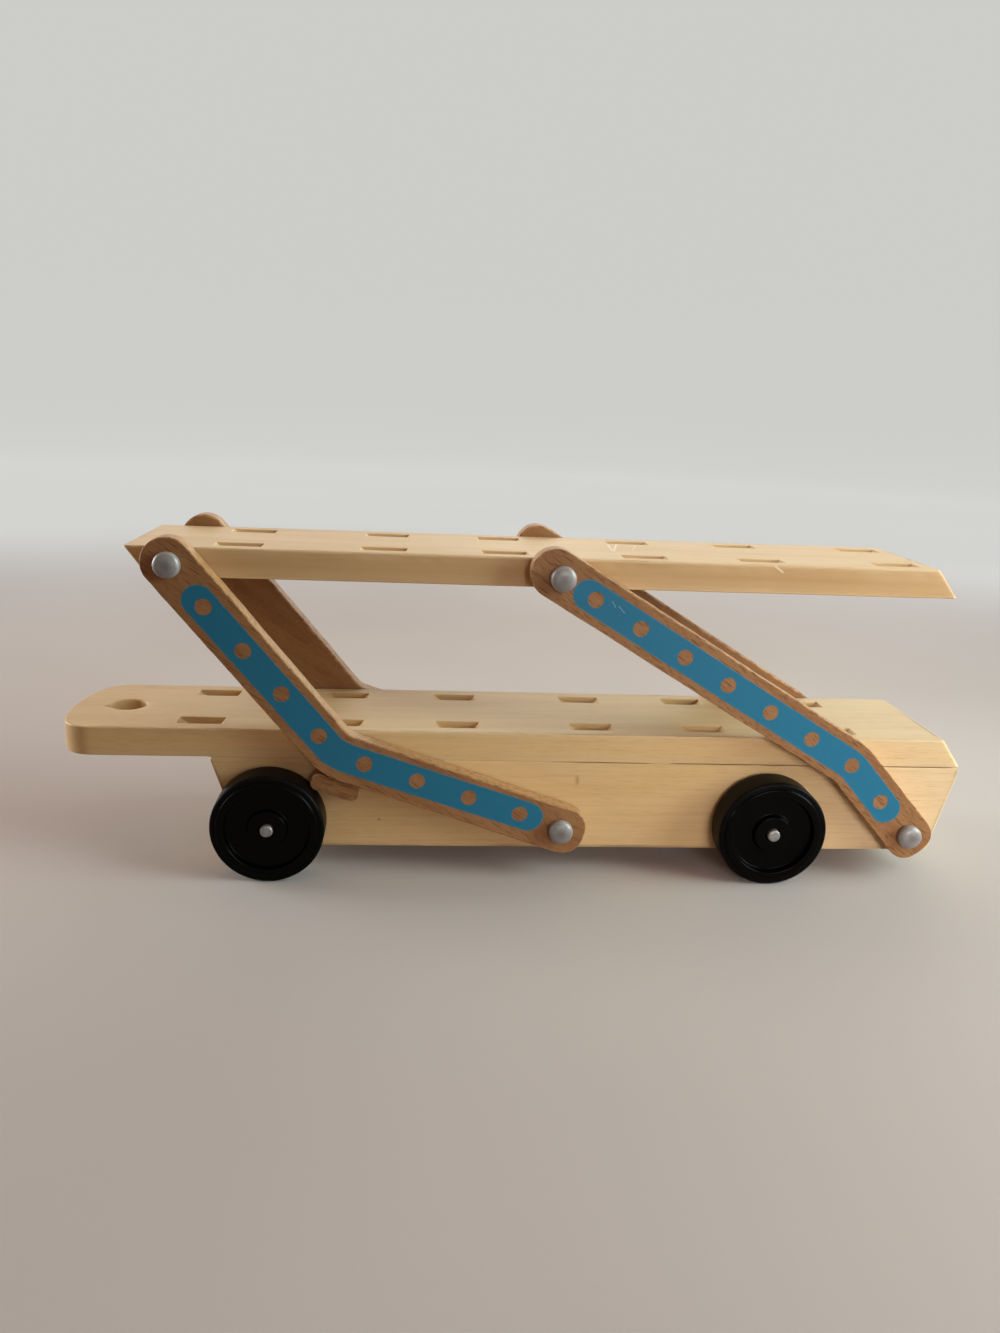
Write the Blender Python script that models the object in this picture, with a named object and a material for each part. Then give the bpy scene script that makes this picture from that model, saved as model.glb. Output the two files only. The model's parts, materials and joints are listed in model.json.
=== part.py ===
"""Trailer of a wooden car transporter: two plank decks, four swinging arms and two wheelsets.

Units are metres and +Z is up. The origin lies on the floor under the middle of the length.
+X runs from the hitch tongue to the loading end. The tongue leads, so the -Y side is the left.
The arms are modelled with the upper deck raised and the front arms on their stop blocks.
"""
import math

import bmesh
import bpy

# Gaps and edges
GAP = 0.0003
EDGE_ROUND = 0.0005
EDGE_SEGMENTS = 2

# Lower deck plank with its hitch tongue
DECK_WIDTH = 0.0458
PLANK_LENGTH = 0.290
PLANK_TOP = 0.0465
PLANK_THICKNESS = 0.0092
PLANK_END_BEVEL = 0.0066
TONGUE_NOSE_RADIUS = 0.0550
TONGUE_NOSE_SIDEWAYS = -0.0030
TONGUE_CORNER_RADIUS = 0.0100
HITCH_HOLE_DIAMETER = 0.011
HITCH_HOLE_SETBACK = 0.0169

# Chassis block under the plank
BLOCK_BOTTOM = 0.0076
BLOCK_FRONT_TOP = -0.0982
BLOCK_FRONT_RAKE = 0.0093
BLOCK_REAR_UNDERCUT = 0.0069

# Upper deck
UPPER_THICKNESS = 0.0090
UPPER_FRONT_TIP = -0.1212
UPPER_FRONT_UNDERCUT = 0.0066
UPPER_LENGTH_TOP = 0.2493
UPPER_REAR_BEVEL = 0.0069
UPPER_DROP = 0.0003

# Wheel pockets: round-bottomed plunge cuts in two rows on each deck
POCKET_LENGTH = 0.0143
POCKET_WIDTH = 0.0064
POCKET_DEPTH = 0.0038
POCKET_ROW_SPACING = 0.0296
CAR_WHEELBASE = 0.0437
CAR_PITCH = 0.0808
CARS_PER_DECK = 3
LOWER_FIRST_POCKET = -0.1019
UPPER_FIRST_POCKET = -0.0889

# Arms and their pivots: equal spans, and one X-Z step from front to rear, make a parallelogram
ARM_SPAN = 0.1443
ARM_RAISED_ANGLE = math.radians(145.4)
ARM_WIDTH = 0.0150
ARM_THICKNESS = 0.0062
ARM_BEND_RADIUS = 0.0140
FRONT_ARM_BEND = (0.0721, 0.0204)
FRONT_ARM_OVERHANGS = (0.0080, 0.0080)
REAR_ARM_BEND = (0.0318, -0.0076)
REAR_ARM_OVERHANGS = (0.0076, 0.0101)
LOWER_PIVOT_X = 0.0121
LOWER_PIVOT_Z = 0.0165
PIVOT_STEP = (0.1150, -0.0007)

# Pivot pins
PIN_SHANK_DIAMETER = 0.0043
PIN_DEPTH_IN_WOOD = 0.0140
PIN_HEAD_DIAMETER = 0.0078
PIN_HEAD_RIM = 0.0009
PIN_HEAD_HEIGHT = 0.0030
PIN_END_CHAMFER = 0.0005

# Wheels and axles
WHEEL_DIAMETER = 0.0350
WHEEL_WIDTH = 0.0102
WHEEL_SIDE_GAP = 0.0010
WHEEL_SHOULDER = 0.0019
WHEEL_RIM_INNER_DIAMETER = 0.0264
WHEEL_RECESS_DEPTH = 0.0022
WHEEL_HUB_DIAMETER = 0.0118
WHEEL_HUB_SETBACK = 0.0004
WHEEL_DRAFT = 0.0005
FRONT_AXLE_X = -0.0794
WHEELBASE = 0.1597
AXLE_DIAMETER = 0.0040
AXLE_STICK_OUT = 0.0007
AXLE_END_ROUND = 0.0007

# Stop blocks under the bends of the front arms
STOP_LENGTH = 0.0155
STOP_HEIGHT = 0.0055
STOP_THICKNESS = 0.0050
STOP_BEFORE_BEND = 0.0044
STOP_CORNER_RADIUS = 0.0022

# Facet counts
WHEEL_SEGMENTS = 36
PIN_SEGMENTS = 16
AXLE_SEGMENTS = 16
HOLE_SEGMENTS = 20
HITCH_HOLE_SEGMENTS = 40
POCKET_SEGMENTS = 60
CORNER_STEPS = 12
CAP_STEPS = 14
BEND_STEPS = 6
DOME_STEPS = 4
SHOULDER_STEPS = 3

# Derived places
HALF_WIDTH = DECK_WIDTH / 2
PLANK_BOTTOM = PLANK_TOP - PLANK_THICKNESS
TONGUE_TIP = -PLANK_LENGTH / 2
PLANK_REAR = PLANK_LENGTH / 2
WHEEL_RADIUS = WHEEL_DIAMETER / 2
LOWER_PINS = (
    (LOWER_PIVOT_X, LOWER_PIVOT_Z),
    (LOWER_PIVOT_X + PIVOT_STEP[0], LOWER_PIVOT_Z + PIVOT_STEP[1]),
)
UPPER_PIVOT_X = LOWER_PIVOT_X + ARM_SPAN * math.cos(ARM_RAISED_ANGLE)
UPPER_PIVOT_Z = LOWER_PIVOT_Z + ARM_SPAN * math.sin(ARM_RAISED_ANGLE)
ARM_INNER_Y = HALF_WIDTH + GAP
ARM_OUTER_Y = ARM_INNER_Y + ARM_THICKNESS
WHEEL_INNER_Y = HALF_WIDTH + WHEEL_SIDE_GAP
AXLE_LENGTH = 2 * (WHEEL_INNER_Y + WHEEL_WIDTH + AXLE_STICK_OUT)
SIDES = (("left", -1), ("right", 1))


def clear_scene():
    """Start from an empty scene."""
    for obj in list(bpy.data.objects):
        bpy.data.objects.remove(obj, do_unlink=True)


def finish(name, colour, roughness, metallic=0.0):
    """A Principled material with one colour, roughness and metallic value."""
    material = bpy.data.materials.new(name)
    material.use_nodes = True
    shader = material.node_tree.nodes["Principled BSDF"]
    shader.inputs["Base Color"].default_value = (*colour, 1.0)
    shader.inputs["Roughness"].default_value = roughness
    shader.inputs["Metallic"].default_value = metallic
    return material


def empty(name, location=(0, 0, 0), parent=None):
    """A parent frame on a joint axis."""
    frame = bpy.data.objects.new(name, None)
    frame.location = location
    frame.parent = parent
    bpy.context.collection.objects.link(frame)
    return frame


def add_object(name, mesh_builder, material=None, parent=None, location=(0, 0, 0), tilt=0.0):
    """Link the built mesh under a name. The tilt turns it about X, so +90 degrees points +Z to -Y."""
    bmesh.ops.recalc_face_normals(mesh_builder, faces=mesh_builder.faces[:])
    mesh = bpy.data.meshes.new(name)
    mesh_builder.to_mesh(mesh)
    mesh_builder.free()
    obj = bpy.data.objects.new(name, mesh)
    if material:
        mesh.materials.append(material)
    obj.parent = parent
    obj.location = location
    obj.rotation_euler.x = tilt
    bpy.context.collection.objects.link(obj)
    return obj


def cut(target, name, mesh_builder):
    """Take a hidden cutter, given in the target's own space, out of the target."""
    cutter = add_object(name, mesh_builder, parent=target)
    cutter.hide_render = True
    cutter.display_type = "WIRE"
    boolean = target.modifiers.new(name, "BOOLEAN")
    boolean.operation = "DIFFERENCE"
    boolean.solver = "EXACT"
    boolean.object = cutter


def round_edges(obj, edge_test):
    """Ease the edges that pass the test with a narrow round, ahead of any cuts."""
    mesh_builder = bmesh.new()
    mesh_builder.from_mesh(obj.data)
    weight = mesh_builder.edges.layers.float.new("bevel_weight_edge")
    for edge in mesh_builder.edges:
        edge[weight] = float(edge_test(edge))
    mesh_builder.to_mesh(obj.data)
    mesh_builder.free()
    bevel = obj.modifiers.new("eased_edges", "BEVEL")
    bevel.limit_method = "WEIGHT"
    bevel.width = EDGE_ROUND
    bevel.segments = EDGE_SEGMENTS


def is_sharp(edge):
    """True where two faces meet at more than 30 degrees."""
    return edge.calc_face_angle(0.0) > math.radians(30)


def arc(centre, radius, start, end, steps):
    """Points along a circle arc in a plane, from one angle in radians to another."""
    angles = [start + (end - start) * step / steps for step in range(steps + 1)]
    return [(centre[0] + radius * math.cos(a), centre[1] + radius * math.sin(a)) for a in angles]


def loft(lower, upper, builder=None):
    """A closed solid between two loops of as many 3-D points, added to a mesh builder."""
    builder = builder or bmesh.new()
    low = [builder.verts.new(point) for point in lower]
    high = [builder.verts.new(point) for point in upper]
    builder.faces.new(low)
    builder.faces.new(high)
    for i, vert in enumerate(low):
        j = (i + 1) % len(low)
        builder.faces.new((vert, low[j], high[j], high[i]))
    return builder


def profile_plate(outline, inner_y, outer_y, builder=None):
    """An X-Z outline made into a plate between two Y planes."""
    lower = [(x, inner_y, z) for x, z in outline]
    upper = [(x, outer_y, z) for x, z in outline]
    return loft(lower, upper, builder)


def four_corners(front, rear, height):
    """Corners of a deck-wide rectangle at one height."""
    plan = ((front, -HALF_WIDTH), (rear, -HALF_WIDTH), (rear, HALF_WIDTH), (front, HALF_WIDTH))
    return [(x, y, height) for x, y in plan]


def circle(centre, radius, segments):
    """Points around a full circle."""
    return arc(centre, radius, 0, 2 * math.pi, segments)[:-1]


def rods(places, radius, ends_list, segments):
    """Closed round rods along Y, one for each X-Z place and each pair of Y ends."""
    builder = bmesh.new()
    for centre in places:
        for ends in ends_list:
            profile_plate(circle(centre, radius, segments), *ends, builder)
    return builder


def turned(profile, segments, closed_bore=False):
    """A profile of (radius, height) points turned about Z.

    With a closed bore the profile is a loop around the section of a ring, and otherwise
    it starts and ends on the axis.
    """
    builder = bmesh.new()
    rings = []
    for radius, height in profile:
        if radius == 0:
            rings.append([builder.verts.new((0, 0, height))] * segments)
            continue
        ring = circle((0, 0), radius, segments)
        rings.append([builder.verts.new((x, y, height)) for x, y in ring])
    pairs = list(zip(rings, rings[1:]))
    if closed_bore:
        pairs.append((rings[-1], rings[0]))
    for first, second in pairs:
        for i in range(segments):
            j = (i + 1) % segments
            corners = dict.fromkeys((first[i], first[j], second[j], second[i]))
            builder.faces.new(tuple(corners))
    return builder


def shade_round(obj):
    """Smooth shading across a round piece, with its corners kept sharp."""
    obj.data.shade_smooth()
    obj.data.set_sharp_from_angle(angle=math.radians(30))


def outward_tilt(side):
    """The turn about X that points a turned piece's +Z out of the given side."""
    return -side * math.pi / 2


def pocket_cutter(first_x, top):
    """Twelve short discs that mill the wheel pockets: three cars, two axles each, two rows."""
    half_length = POCKET_LENGTH / 2
    radius = (half_length**2 + POCKET_DEPTH**2) / (2 * POCKET_DEPTH)
    height = top + radius - POCKET_DEPTH
    starts = [first_x + CAR_PITCH * car for car in range(CARS_PER_DECK)]
    places = [(x + offset, height) for x in starts for offset in (0.0, CAR_WHEELBASE)]
    rows = []
    for _, side in SIDES:
        middle = side * POCKET_ROW_SPACING / 2
        rows.append((middle - POCKET_WIDTH / 2, middle + POCKET_WIDTH / 2))
    return rods(places, radius, rows, POCKET_SEGMENTS)


def pin_holes(centre_list):
    """Blind holes for the pin shanks, bored from both sides at each X-Z centre."""
    radius = PIN_SHANK_DIAMETER / 2 + GAP
    floor = HALF_WIDTH - PIN_DEPTH_IN_WOOD - GAP
    beyond = HALF_WIDTH + PIN_HEAD_HEIGHT
    ends = [tuple(sorted((side * floor, side * beyond))) for _, side in SIDES]
    return rods(centre_list, radius, ends, HOLE_SEGMENTS)


def build_deck_plank(material, trailer):
    """The lower deck with its bowed tongue, hitch hole, pockets and bevelled rear end.

    The bow's centre lies a little to the left, so its arc meets the two corner arcs at different leans.
    """
    radius = TONGUE_CORNER_RADIUS
    corner_y = HALF_WIDTH - radius
    reach = TONGUE_NOSE_RADIUS - radius
    nose = (TONGUE_TIP + TONGUE_NOSE_RADIUS, TONGUE_NOSE_SIDEWAYS)
    lean_left, lean_right = (math.asin((corner_y + side * nose[1]) / reach) for side in (1, -1))
    left_x, right_x = (nose[0] - reach * math.cos(lean) for lean in (lean_left, lean_right))
    front = arc((right_x, corner_y), radius, math.pi / 2, math.pi - lean_right, CORNER_STEPS)
    front += arc(nose, TONGUE_NOSE_RADIUS, math.pi - lean_right, math.pi + lean_left, CORNER_STEPS)[1:-1]
    front += arc((left_x, -corner_y), radius, math.pi + lean_left, 3 * math.pi / 2, CORNER_STEPS)

    def outline(rear, height):
        plan = front + [(rear, -HALF_WIDTH), (rear, HALF_WIDTH)]
        return [(x, y, height) for x, y in plan]

    solid = loft(outline(PLANK_REAR, PLANK_BOTTOM), outline(PLANK_REAR - PLANK_END_BEVEL, PLANK_TOP))
    plank = add_object("deck_plank", solid, material, trailer)

    def is_eased(edge):
        return is_sharp(edge) and max(vert.co.z for vert in edge.verts) > PLANK_BOTTOM + GAP

    round_edges(plank, is_eased)
    cut(plank, "lower_pocket_cutter", pocket_cutter(LOWER_FIRST_POCKET, PLANK_TOP))
    centre = (TONGUE_TIP + HITCH_HOLE_SETBACK, 0.0)
    hole = circle(centre, HITCH_HOLE_DIAMETER / 2, HITCH_HOLE_SEGMENTS)
    below = PLANK_BOTTOM - PLANK_THICKNESS
    above = PLANK_TOP + PLANK_THICKNESS
    drill = loft([(x, y, below) for x, y in hole], [(x, y, above) for x, y in hole])
    cut(plank, "hitch_hole_cutter", drill)


def build_chassis_block(material, trailer):
    """The block glued under the plank, bored for the axles and for the lower pins."""
    top = PLANK_BOTTOM - GAP
    lower = four_corners(BLOCK_FRONT_TOP + BLOCK_FRONT_RAKE, PLANK_REAR - BLOCK_REAR_UNDERCUT, BLOCK_BOTTOM)
    upper = four_corners(BLOCK_FRONT_TOP, PLANK_REAR, top)
    block = add_object("chassis_block", loft(lower, upper), material, trailer)

    def is_eased(edge):
        return is_sharp(edge) and min(vert.co.z for vert in edge.verts) < top - GAP

    round_edges(block, is_eased)
    axles = [(FRONT_AXLE_X + WHEELBASE * index, WHEEL_RADIUS) for index in range(2)]
    through = [(-DECK_WIDTH, DECK_WIDTH)]
    cut(block, "axle_bore_cutter", rods(axles, AXLE_DIAMETER / 2 + GAP, through, HOLE_SEGMENTS))
    cut(block, "lower_pin_hole_cutter", pin_holes(LOWER_PINS))


def build_upper_deck(material, pivot):
    """The swinging deck, with its origin on the front upper pivot axis and its middle just below it."""
    front = UPPER_FRONT_TIP - UPPER_PIVOT_X
    rear = front + UPPER_LENGTH_TOP
    top = UPPER_THICKNESS / 2 - UPPER_DROP
    lower = four_corners(front + UPPER_FRONT_UNDERCUT, rear + UPPER_REAR_BEVEL, top - UPPER_THICKNESS)
    deck = add_object("upper_deck", loft(lower, four_corners(front, rear, top)), material, pivot)
    round_edges(deck, is_sharp)
    cut(deck, "upper_pocket_cutter", pocket_cutter(UPPER_FIRST_POCKET - UPPER_PIVOT_X, top))
    cut(deck, "upper_pin_hole_cutter", pin_holes([(0.0, 0.0), PIVOT_STEP]))


def arm_outline(bend, overhangs):
    """Outline of a bent arm in X-Z, raised, with its lower pivot at the origin.

    The bend is given along the line of pivots from the lower one, and to the left of that line.
    The centre line is two straight legs joined by an arc, with half the width laid off each side.
    The overhangs are how far the round ends reach past the lower and the upper pivot.
    """
    along = (math.cos(ARM_RAISED_ANGLE), math.sin(ARM_RAISED_ANGLE))
    left = (-along[1], along[0])
    corner = tuple(bend[0] * a + bend[1] * n for a, n in zip(along, left))
    top = tuple(ARM_SPAN * a for a in along)
    first = math.atan2(corner[1], corner[0])
    second = math.atan2(top[1] - corner[1], top[0] - corner[0])
    turn = math.remainder(second - first, 2 * math.pi)
    hand = math.copysign(1.0, turn)
    tangent = ARM_BEND_RADIUS * math.tan(abs(turn) / 2)
    start = (corner[0] - tangent * math.cos(first), corner[1] - tangent * math.sin(first))
    middle = (
        start[0] - hand * ARM_BEND_RADIUS * math.sin(first),
        start[1] + hand * ARM_BEND_RADIUS * math.cos(first),
    )
    half = ARM_WIDTH / 2
    low_reach, top_reach = (overhang - half for overhang in overhangs)
    top_centre = (top[0] + top_reach * math.cos(second), top[1] + top_reach * math.sin(second))
    low_centre = (-low_reach * math.cos(first), -low_reach * math.sin(first))
    quarter = math.pi / 2
    enter, leave = first - hand * quarter, second - hand * quarter
    right_side = arc(middle, ARM_BEND_RADIUS + hand * half, enter, leave, BEND_STEPS)
    left_side = arc(middle, ARM_BEND_RADIUS - hand * half, leave, enter, BEND_STEPS)
    top_cap = arc(top_centre, half, second - quarter, second + quarter, CAP_STEPS)
    low_cap = arc(low_centre, half, first + quarter, first + 3 * quarter, CAP_STEPS)
    return right_side + top_cap + left_side + low_cap


def build_arms(name, outline, material, pivot):
    """A left and a right arm on one pivot frame, each bored for its two pins."""
    top = (ARM_SPAN * math.cos(ARM_RAISED_ANGLE), ARM_SPAN * math.sin(ARM_RAISED_ANGLE))
    for side_name, side in SIDES:
        planes = (side * ARM_INNER_Y, side * ARM_OUTER_Y)
        arm = add_object(f"{name}_{side_name}", profile_plate(outline, *planes), material, pivot)
        bores = [tuple(sorted((side * HALF_WIDTH, side * (ARM_OUTER_Y + GAP))))]
        radius = PIN_SHANK_DIAMETER / 2 + GAP
        cut(arm, f"{name}_{side_name}_bore_cutter", rods([(0.0, 0.0), top], radius, bores, HOLE_SEGMENTS))


def pin_profile():
    """Section of a headed pin, with zero at the outer face of the arm and +Z out through the head."""
    shank = PIN_SHANK_DIAMETER / 2
    head = PIN_HEAD_DIAMETER / 2
    inner_end = -(ARM_OUTER_Y - HALF_WIDTH + PIN_DEPTH_IN_WOOD)
    section = [(0.0, inner_end), (shank - PIN_END_CHAMFER, inner_end), (shank, inner_end + PIN_END_CHAMFER)]
    section += [(shank, GAP), (head, GAP)]
    dome = PIN_HEAD_HEIGHT - PIN_HEAD_RIM
    for step in range(DOME_STEPS):
        angle = math.pi / 2 * step / DOME_STEPS
        section.append((head * math.cos(angle), GAP + PIN_HEAD_RIM + dome * math.sin(angle)))
    section.append((0.0, GAP + PIN_HEAD_HEIGHT))
    return section


def build_pins(prefix, material, parent, places):
    """Front and rear pins on both sides, at X-Z places under their parent frame."""
    for end, (x, z) in zip(("front", "rear"), places):
        for side_name, side in SIDES:
            pin = add_object(
                f"{prefix}_{end}_pin_{side_name}",
                turned(pin_profile(), PIN_SEGMENTS),
                material,
                parent,
                location=(x, side * ARM_OUTER_Y, z),
                tilt=outward_tilt(side),
            )
            shade_round(pin)


def wheel_profile():
    """Section of a wheel as a loop, with zero at its inner face and +Z towards its outer face."""
    radius = WHEEL_RADIUS
    bore = AXLE_DIAMETER / 2 + GAP
    shoulder = WHEEL_SHOULDER
    rim = WHEEL_RIM_INNER_DIAMETER / 2
    hub = WHEEL_HUB_DIAMETER / 2
    recess = WHEEL_WIDTH - WHEEL_RECESS_DEPTH
    quarter = math.pi / 2
    section = [(bore, 0.0)]
    section += arc((radius - shoulder, shoulder), shoulder, -quarter, 0.0, SHOULDER_STEPS)
    section += arc((radius - shoulder, WHEEL_WIDTH - shoulder), shoulder, 0.0, quarter, SHOULDER_STEPS)
    section += [(rim, WHEEL_WIDTH), (rim - WHEEL_DRAFT, recess)]
    section += [(hub + WHEEL_DRAFT, recess), (hub, WHEEL_WIDTH - WHEEL_HUB_SETBACK)]
    section += [(bore, WHEEL_WIDTH - WHEEL_HUB_SETBACK)]
    return section


def axle_profile():
    """Section of an axle centred on its length, with rounded ends."""
    radius = AXLE_DIAMETER / 2
    half = AXLE_LENGTH / 2
    inset = radius - AXLE_END_ROUND
    return [(0.0, -half), (inset, -half), (radius, AXLE_END_ROUND - half),
            (radius, half - AXLE_END_ROUND), (inset, half), (0.0, half)]


def build_wheelset(name, axle_x, tyre_material, axle_material, trailer):
    """Two wheels pressed on one axle, on a frame at the axle's middle."""
    frame = empty(f"{name}_wheelset", (axle_x, 0, WHEEL_RADIUS), trailer)
    rod = turned(axle_profile(), AXLE_SEGMENTS)
    axle = add_object(f"{name}_axle", rod, axle_material, frame, tilt=math.pi / 2)
    shade_round(axle)
    for side_name, side in SIDES:
        wheel = add_object(
            f"{name}_wheel_{side_name}",
            turned(wheel_profile(), WHEEL_SEGMENTS, closed_bore=True),
            tyre_material,
            frame,
            location=(0, side * WHEEL_INNER_Y, 0),
            tilt=outward_tilt(side),
        )
        shade_round(wheel)


def build_stop_blocks(material, trailer):
    """Small blocks on the chassis sides, each with its top along the front arm's lower edge."""
    along, offset = FRONT_ARM_BEND
    leg_angle = ARM_RAISED_ANGLE + math.atan2(offset, along)
    leg_length = math.hypot(along, offset)
    back = (-math.cos(leg_angle), -math.sin(leg_angle))
    down = (back[1], -back[0])
    drop = ARM_WIDTH / 2 + GAP
    bend = (LOWER_PIVOT_X - leg_length * back[0], LOWER_PIVOT_Z - leg_length * back[1])
    radius = STOP_CORNER_RADIUS
    quarter = math.pi / 2
    square = arc((radius, radius), radius, -quarter, -2 * quarter, CORNER_STEPS // 3)
    square += arc((radius, STOP_HEIGHT - radius), radius, 2 * quarter, quarter, CORNER_STEPS // 3)
    square += arc((STOP_LENGTH - radius, STOP_HEIGHT - radius), radius, quarter, 0.0, CORNER_STEPS // 3)
    square += [(STOP_LENGTH, 0.0)]
    outline = []
    for run, depth in square:
        outline.append(
            tuple(bend[i] + (run - STOP_BEFORE_BEND) * back[i] + (drop + depth) * down[i] for i in range(2))
        )
    inner = HALF_WIDTH + GAP
    for side_name, side in SIDES:
        plate = profile_plate(outline, side * inner, side * (inner + STOP_THICKNESS))
        add_object(f"stop_block_{side_name}", plate, material, trailer)


def main():
    """Build the trailer."""
    clear_scene()
    plank_wood = finish("pale_plank_wood", (0.62, 0.43, 0.22), 0.55)
    arm_wood = finish("beech", (0.42, 0.21, 0.09), 0.55)
    pin_metal = finish("grey_pin", (0.42, 0.43, 0.45), 0.45, 0.3)
    wheel_plastic = finish("black_wheel", (0.008, 0.008, 0.009), 0.25)
    steel = finish("axle_steel", (0.55, 0.55, 0.56), 0.3, 1.0)

    trailer = empty("trailer")
    build_deck_plank(plank_wood, trailer)
    build_chassis_block(plank_wood, trailer)
    build_stop_blocks(arm_wood, trailer)
    build_pins("lower", pin_metal, trailer, LOWER_PINS)
    for name, index in (("front", 0), ("rear", 1)):
        build_wheelset(name, FRONT_AXLE_X + WHEELBASE * index, wheel_plastic, steel, trailer)

    front_pivot, rear_pivot = (
        empty(f"{end}_arm_pivot", (x, 0, z), trailer) for end, (x, z) in zip(("front", "rear"), LOWER_PINS)
    )
    build_arms("front_arm", arm_outline(FRONT_ARM_BEND, FRONT_ARM_OVERHANGS), arm_wood, front_pivot)
    build_arms("rear_arm", arm_outline(REAR_ARM_BEND, REAR_ARM_OVERHANGS), arm_wood, rear_pivot)
    swing = (UPPER_PIVOT_X - LOWER_PIVOT_X, 0, UPPER_PIVOT_Z - LOWER_PIVOT_Z)
    deck_pivot = empty("upper_deck_pivot", swing, front_pivot)
    build_upper_deck(plank_wood, deck_pivot)
    build_pins("upper", pin_metal, deck_pivot, [(0.0, 0.0), PIVOT_STEP])


main()
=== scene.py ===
"""Looks of a wooden car transporter trailer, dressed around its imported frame.

All sizes are in metres in the frame's own axes: +X runs from the hitch tongue to the loading end,
+Y to the trailer's right and +Z up. Every piece is a welded numpy surface with its place in its mesh.
"""
import json
import logging
from collections.abc import Callable, Sequence
from dataclasses import dataclass, field
from enum import Enum
from itertools import product
from math import asin, atan2, cos, hypot, pi, radians, remainder, sin, tan

import bmesh
import bpy
import numpy as np
from mathutils import Matrix, Vector
from mathutils.geometry import delaunay_2d_cdt


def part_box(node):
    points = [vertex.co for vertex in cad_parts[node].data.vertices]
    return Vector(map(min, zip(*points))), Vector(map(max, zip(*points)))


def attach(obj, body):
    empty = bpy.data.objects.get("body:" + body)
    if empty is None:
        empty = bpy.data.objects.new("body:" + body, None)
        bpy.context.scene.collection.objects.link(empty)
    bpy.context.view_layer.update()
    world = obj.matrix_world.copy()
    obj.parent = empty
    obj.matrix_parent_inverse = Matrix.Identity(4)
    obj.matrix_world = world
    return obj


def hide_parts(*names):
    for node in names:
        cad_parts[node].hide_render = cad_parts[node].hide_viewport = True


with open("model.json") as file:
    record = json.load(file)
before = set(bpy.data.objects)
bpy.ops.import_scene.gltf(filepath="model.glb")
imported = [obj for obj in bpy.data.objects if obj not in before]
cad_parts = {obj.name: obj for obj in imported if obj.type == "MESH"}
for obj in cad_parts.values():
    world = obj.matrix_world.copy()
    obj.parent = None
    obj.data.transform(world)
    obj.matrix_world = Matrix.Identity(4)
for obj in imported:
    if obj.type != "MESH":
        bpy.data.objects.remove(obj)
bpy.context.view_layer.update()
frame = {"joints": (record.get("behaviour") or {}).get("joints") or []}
LOG = logging.getLogger("trailer")

Array = np.ndarray
Colour = tuple[float, float, float]
Place = tuple[float, float, float]
Flat = tuple[float, float]

WELD = 1e-6
SHARP_ANGLE = radians(38)
FILL_SCALE = 1000.0
FILL_MARGIN = 1e-6
FACE_LIP = 0.00025
BOW_MARGIN = 0.0003
ROUND_STEPS = 5
LACQUER_IOR = 1.45
ROUGH_NOISE = (3.0, 0.6)
WALL_FADE = 0.0005
BROAD_PERIOD = 0.011
FINE_PERIOD = 0.0035
STROKE_CORE = 0.35
SCRATCH_CORE = 0.3
BLACK: Colour = (0.0, 0.0, 0.0)


class Side(Enum):
    """The trailer's two long sides, each with its sign on the Y axis."""

    LEFT = -1
    RIGHT = 1

    @property
    def word(self) -> str:
        """The side's name as the frame's nodes spell it."""
        return self.name.lower()


class Slot(Enum):
    """The record's material slots."""

    BOARD = "plank_wood"
    BEECH = "arm_wood"
    PIN = "pin_metal"
    WHEEL = "wheel_plastic"
    AXLE = "axle_steel"


def pivot(joint: str) -> Place:
    """The rest place of a joint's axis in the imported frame."""
    return next(tuple(row["pos_m"]) for row in frame["joints"] if row["name"] == joint)


def cross_axis(node: str) -> tuple[Flat, float, float, float]:
    """Measure a round node whose axis lies across the trailer.

    Args:
        node: The node's name.

    Returns:
        Its axis in X-Z, its radius, its length, and how far its outer end is from the middle.
    """
    low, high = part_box(node)
    centre = ((low.x + high.x) / 2, (low.z + high.z) / 2)
    return centre, (high.z - low.z) / 2, high.y - low.y, max(abs(low.y), abs(high.y))


def grid_faces(rows: int, columns: int, wrap_rows: bool, wrap_columns: bool) -> Array:
    """Number the quads of a grid whose points are counted row by row.

    Args:
        rows: The number of rows of points.
        columns: The number of points in each row.
        wrap_rows: Whether the last row joins the first.
        wrap_columns: Whether the last column joins the first.

    Returns:
        One row of four point numbers for each quad.
    """
    numbers = np.arange(rows * columns).reshape(rows, columns)
    if wrap_rows:
        numbers = np.concatenate([numbers, numbers[:1]])
    if wrap_columns:
        numbers = np.concatenate([numbers, numbers[:, :1]], axis=1)
    corners = [numbers[:-1, :-1], numbers[:-1, 1:], numbers[1:, 1:], numbers[1:, :-1]]
    return np.stack(corners, axis=-1).reshape(-1, 4)


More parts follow.
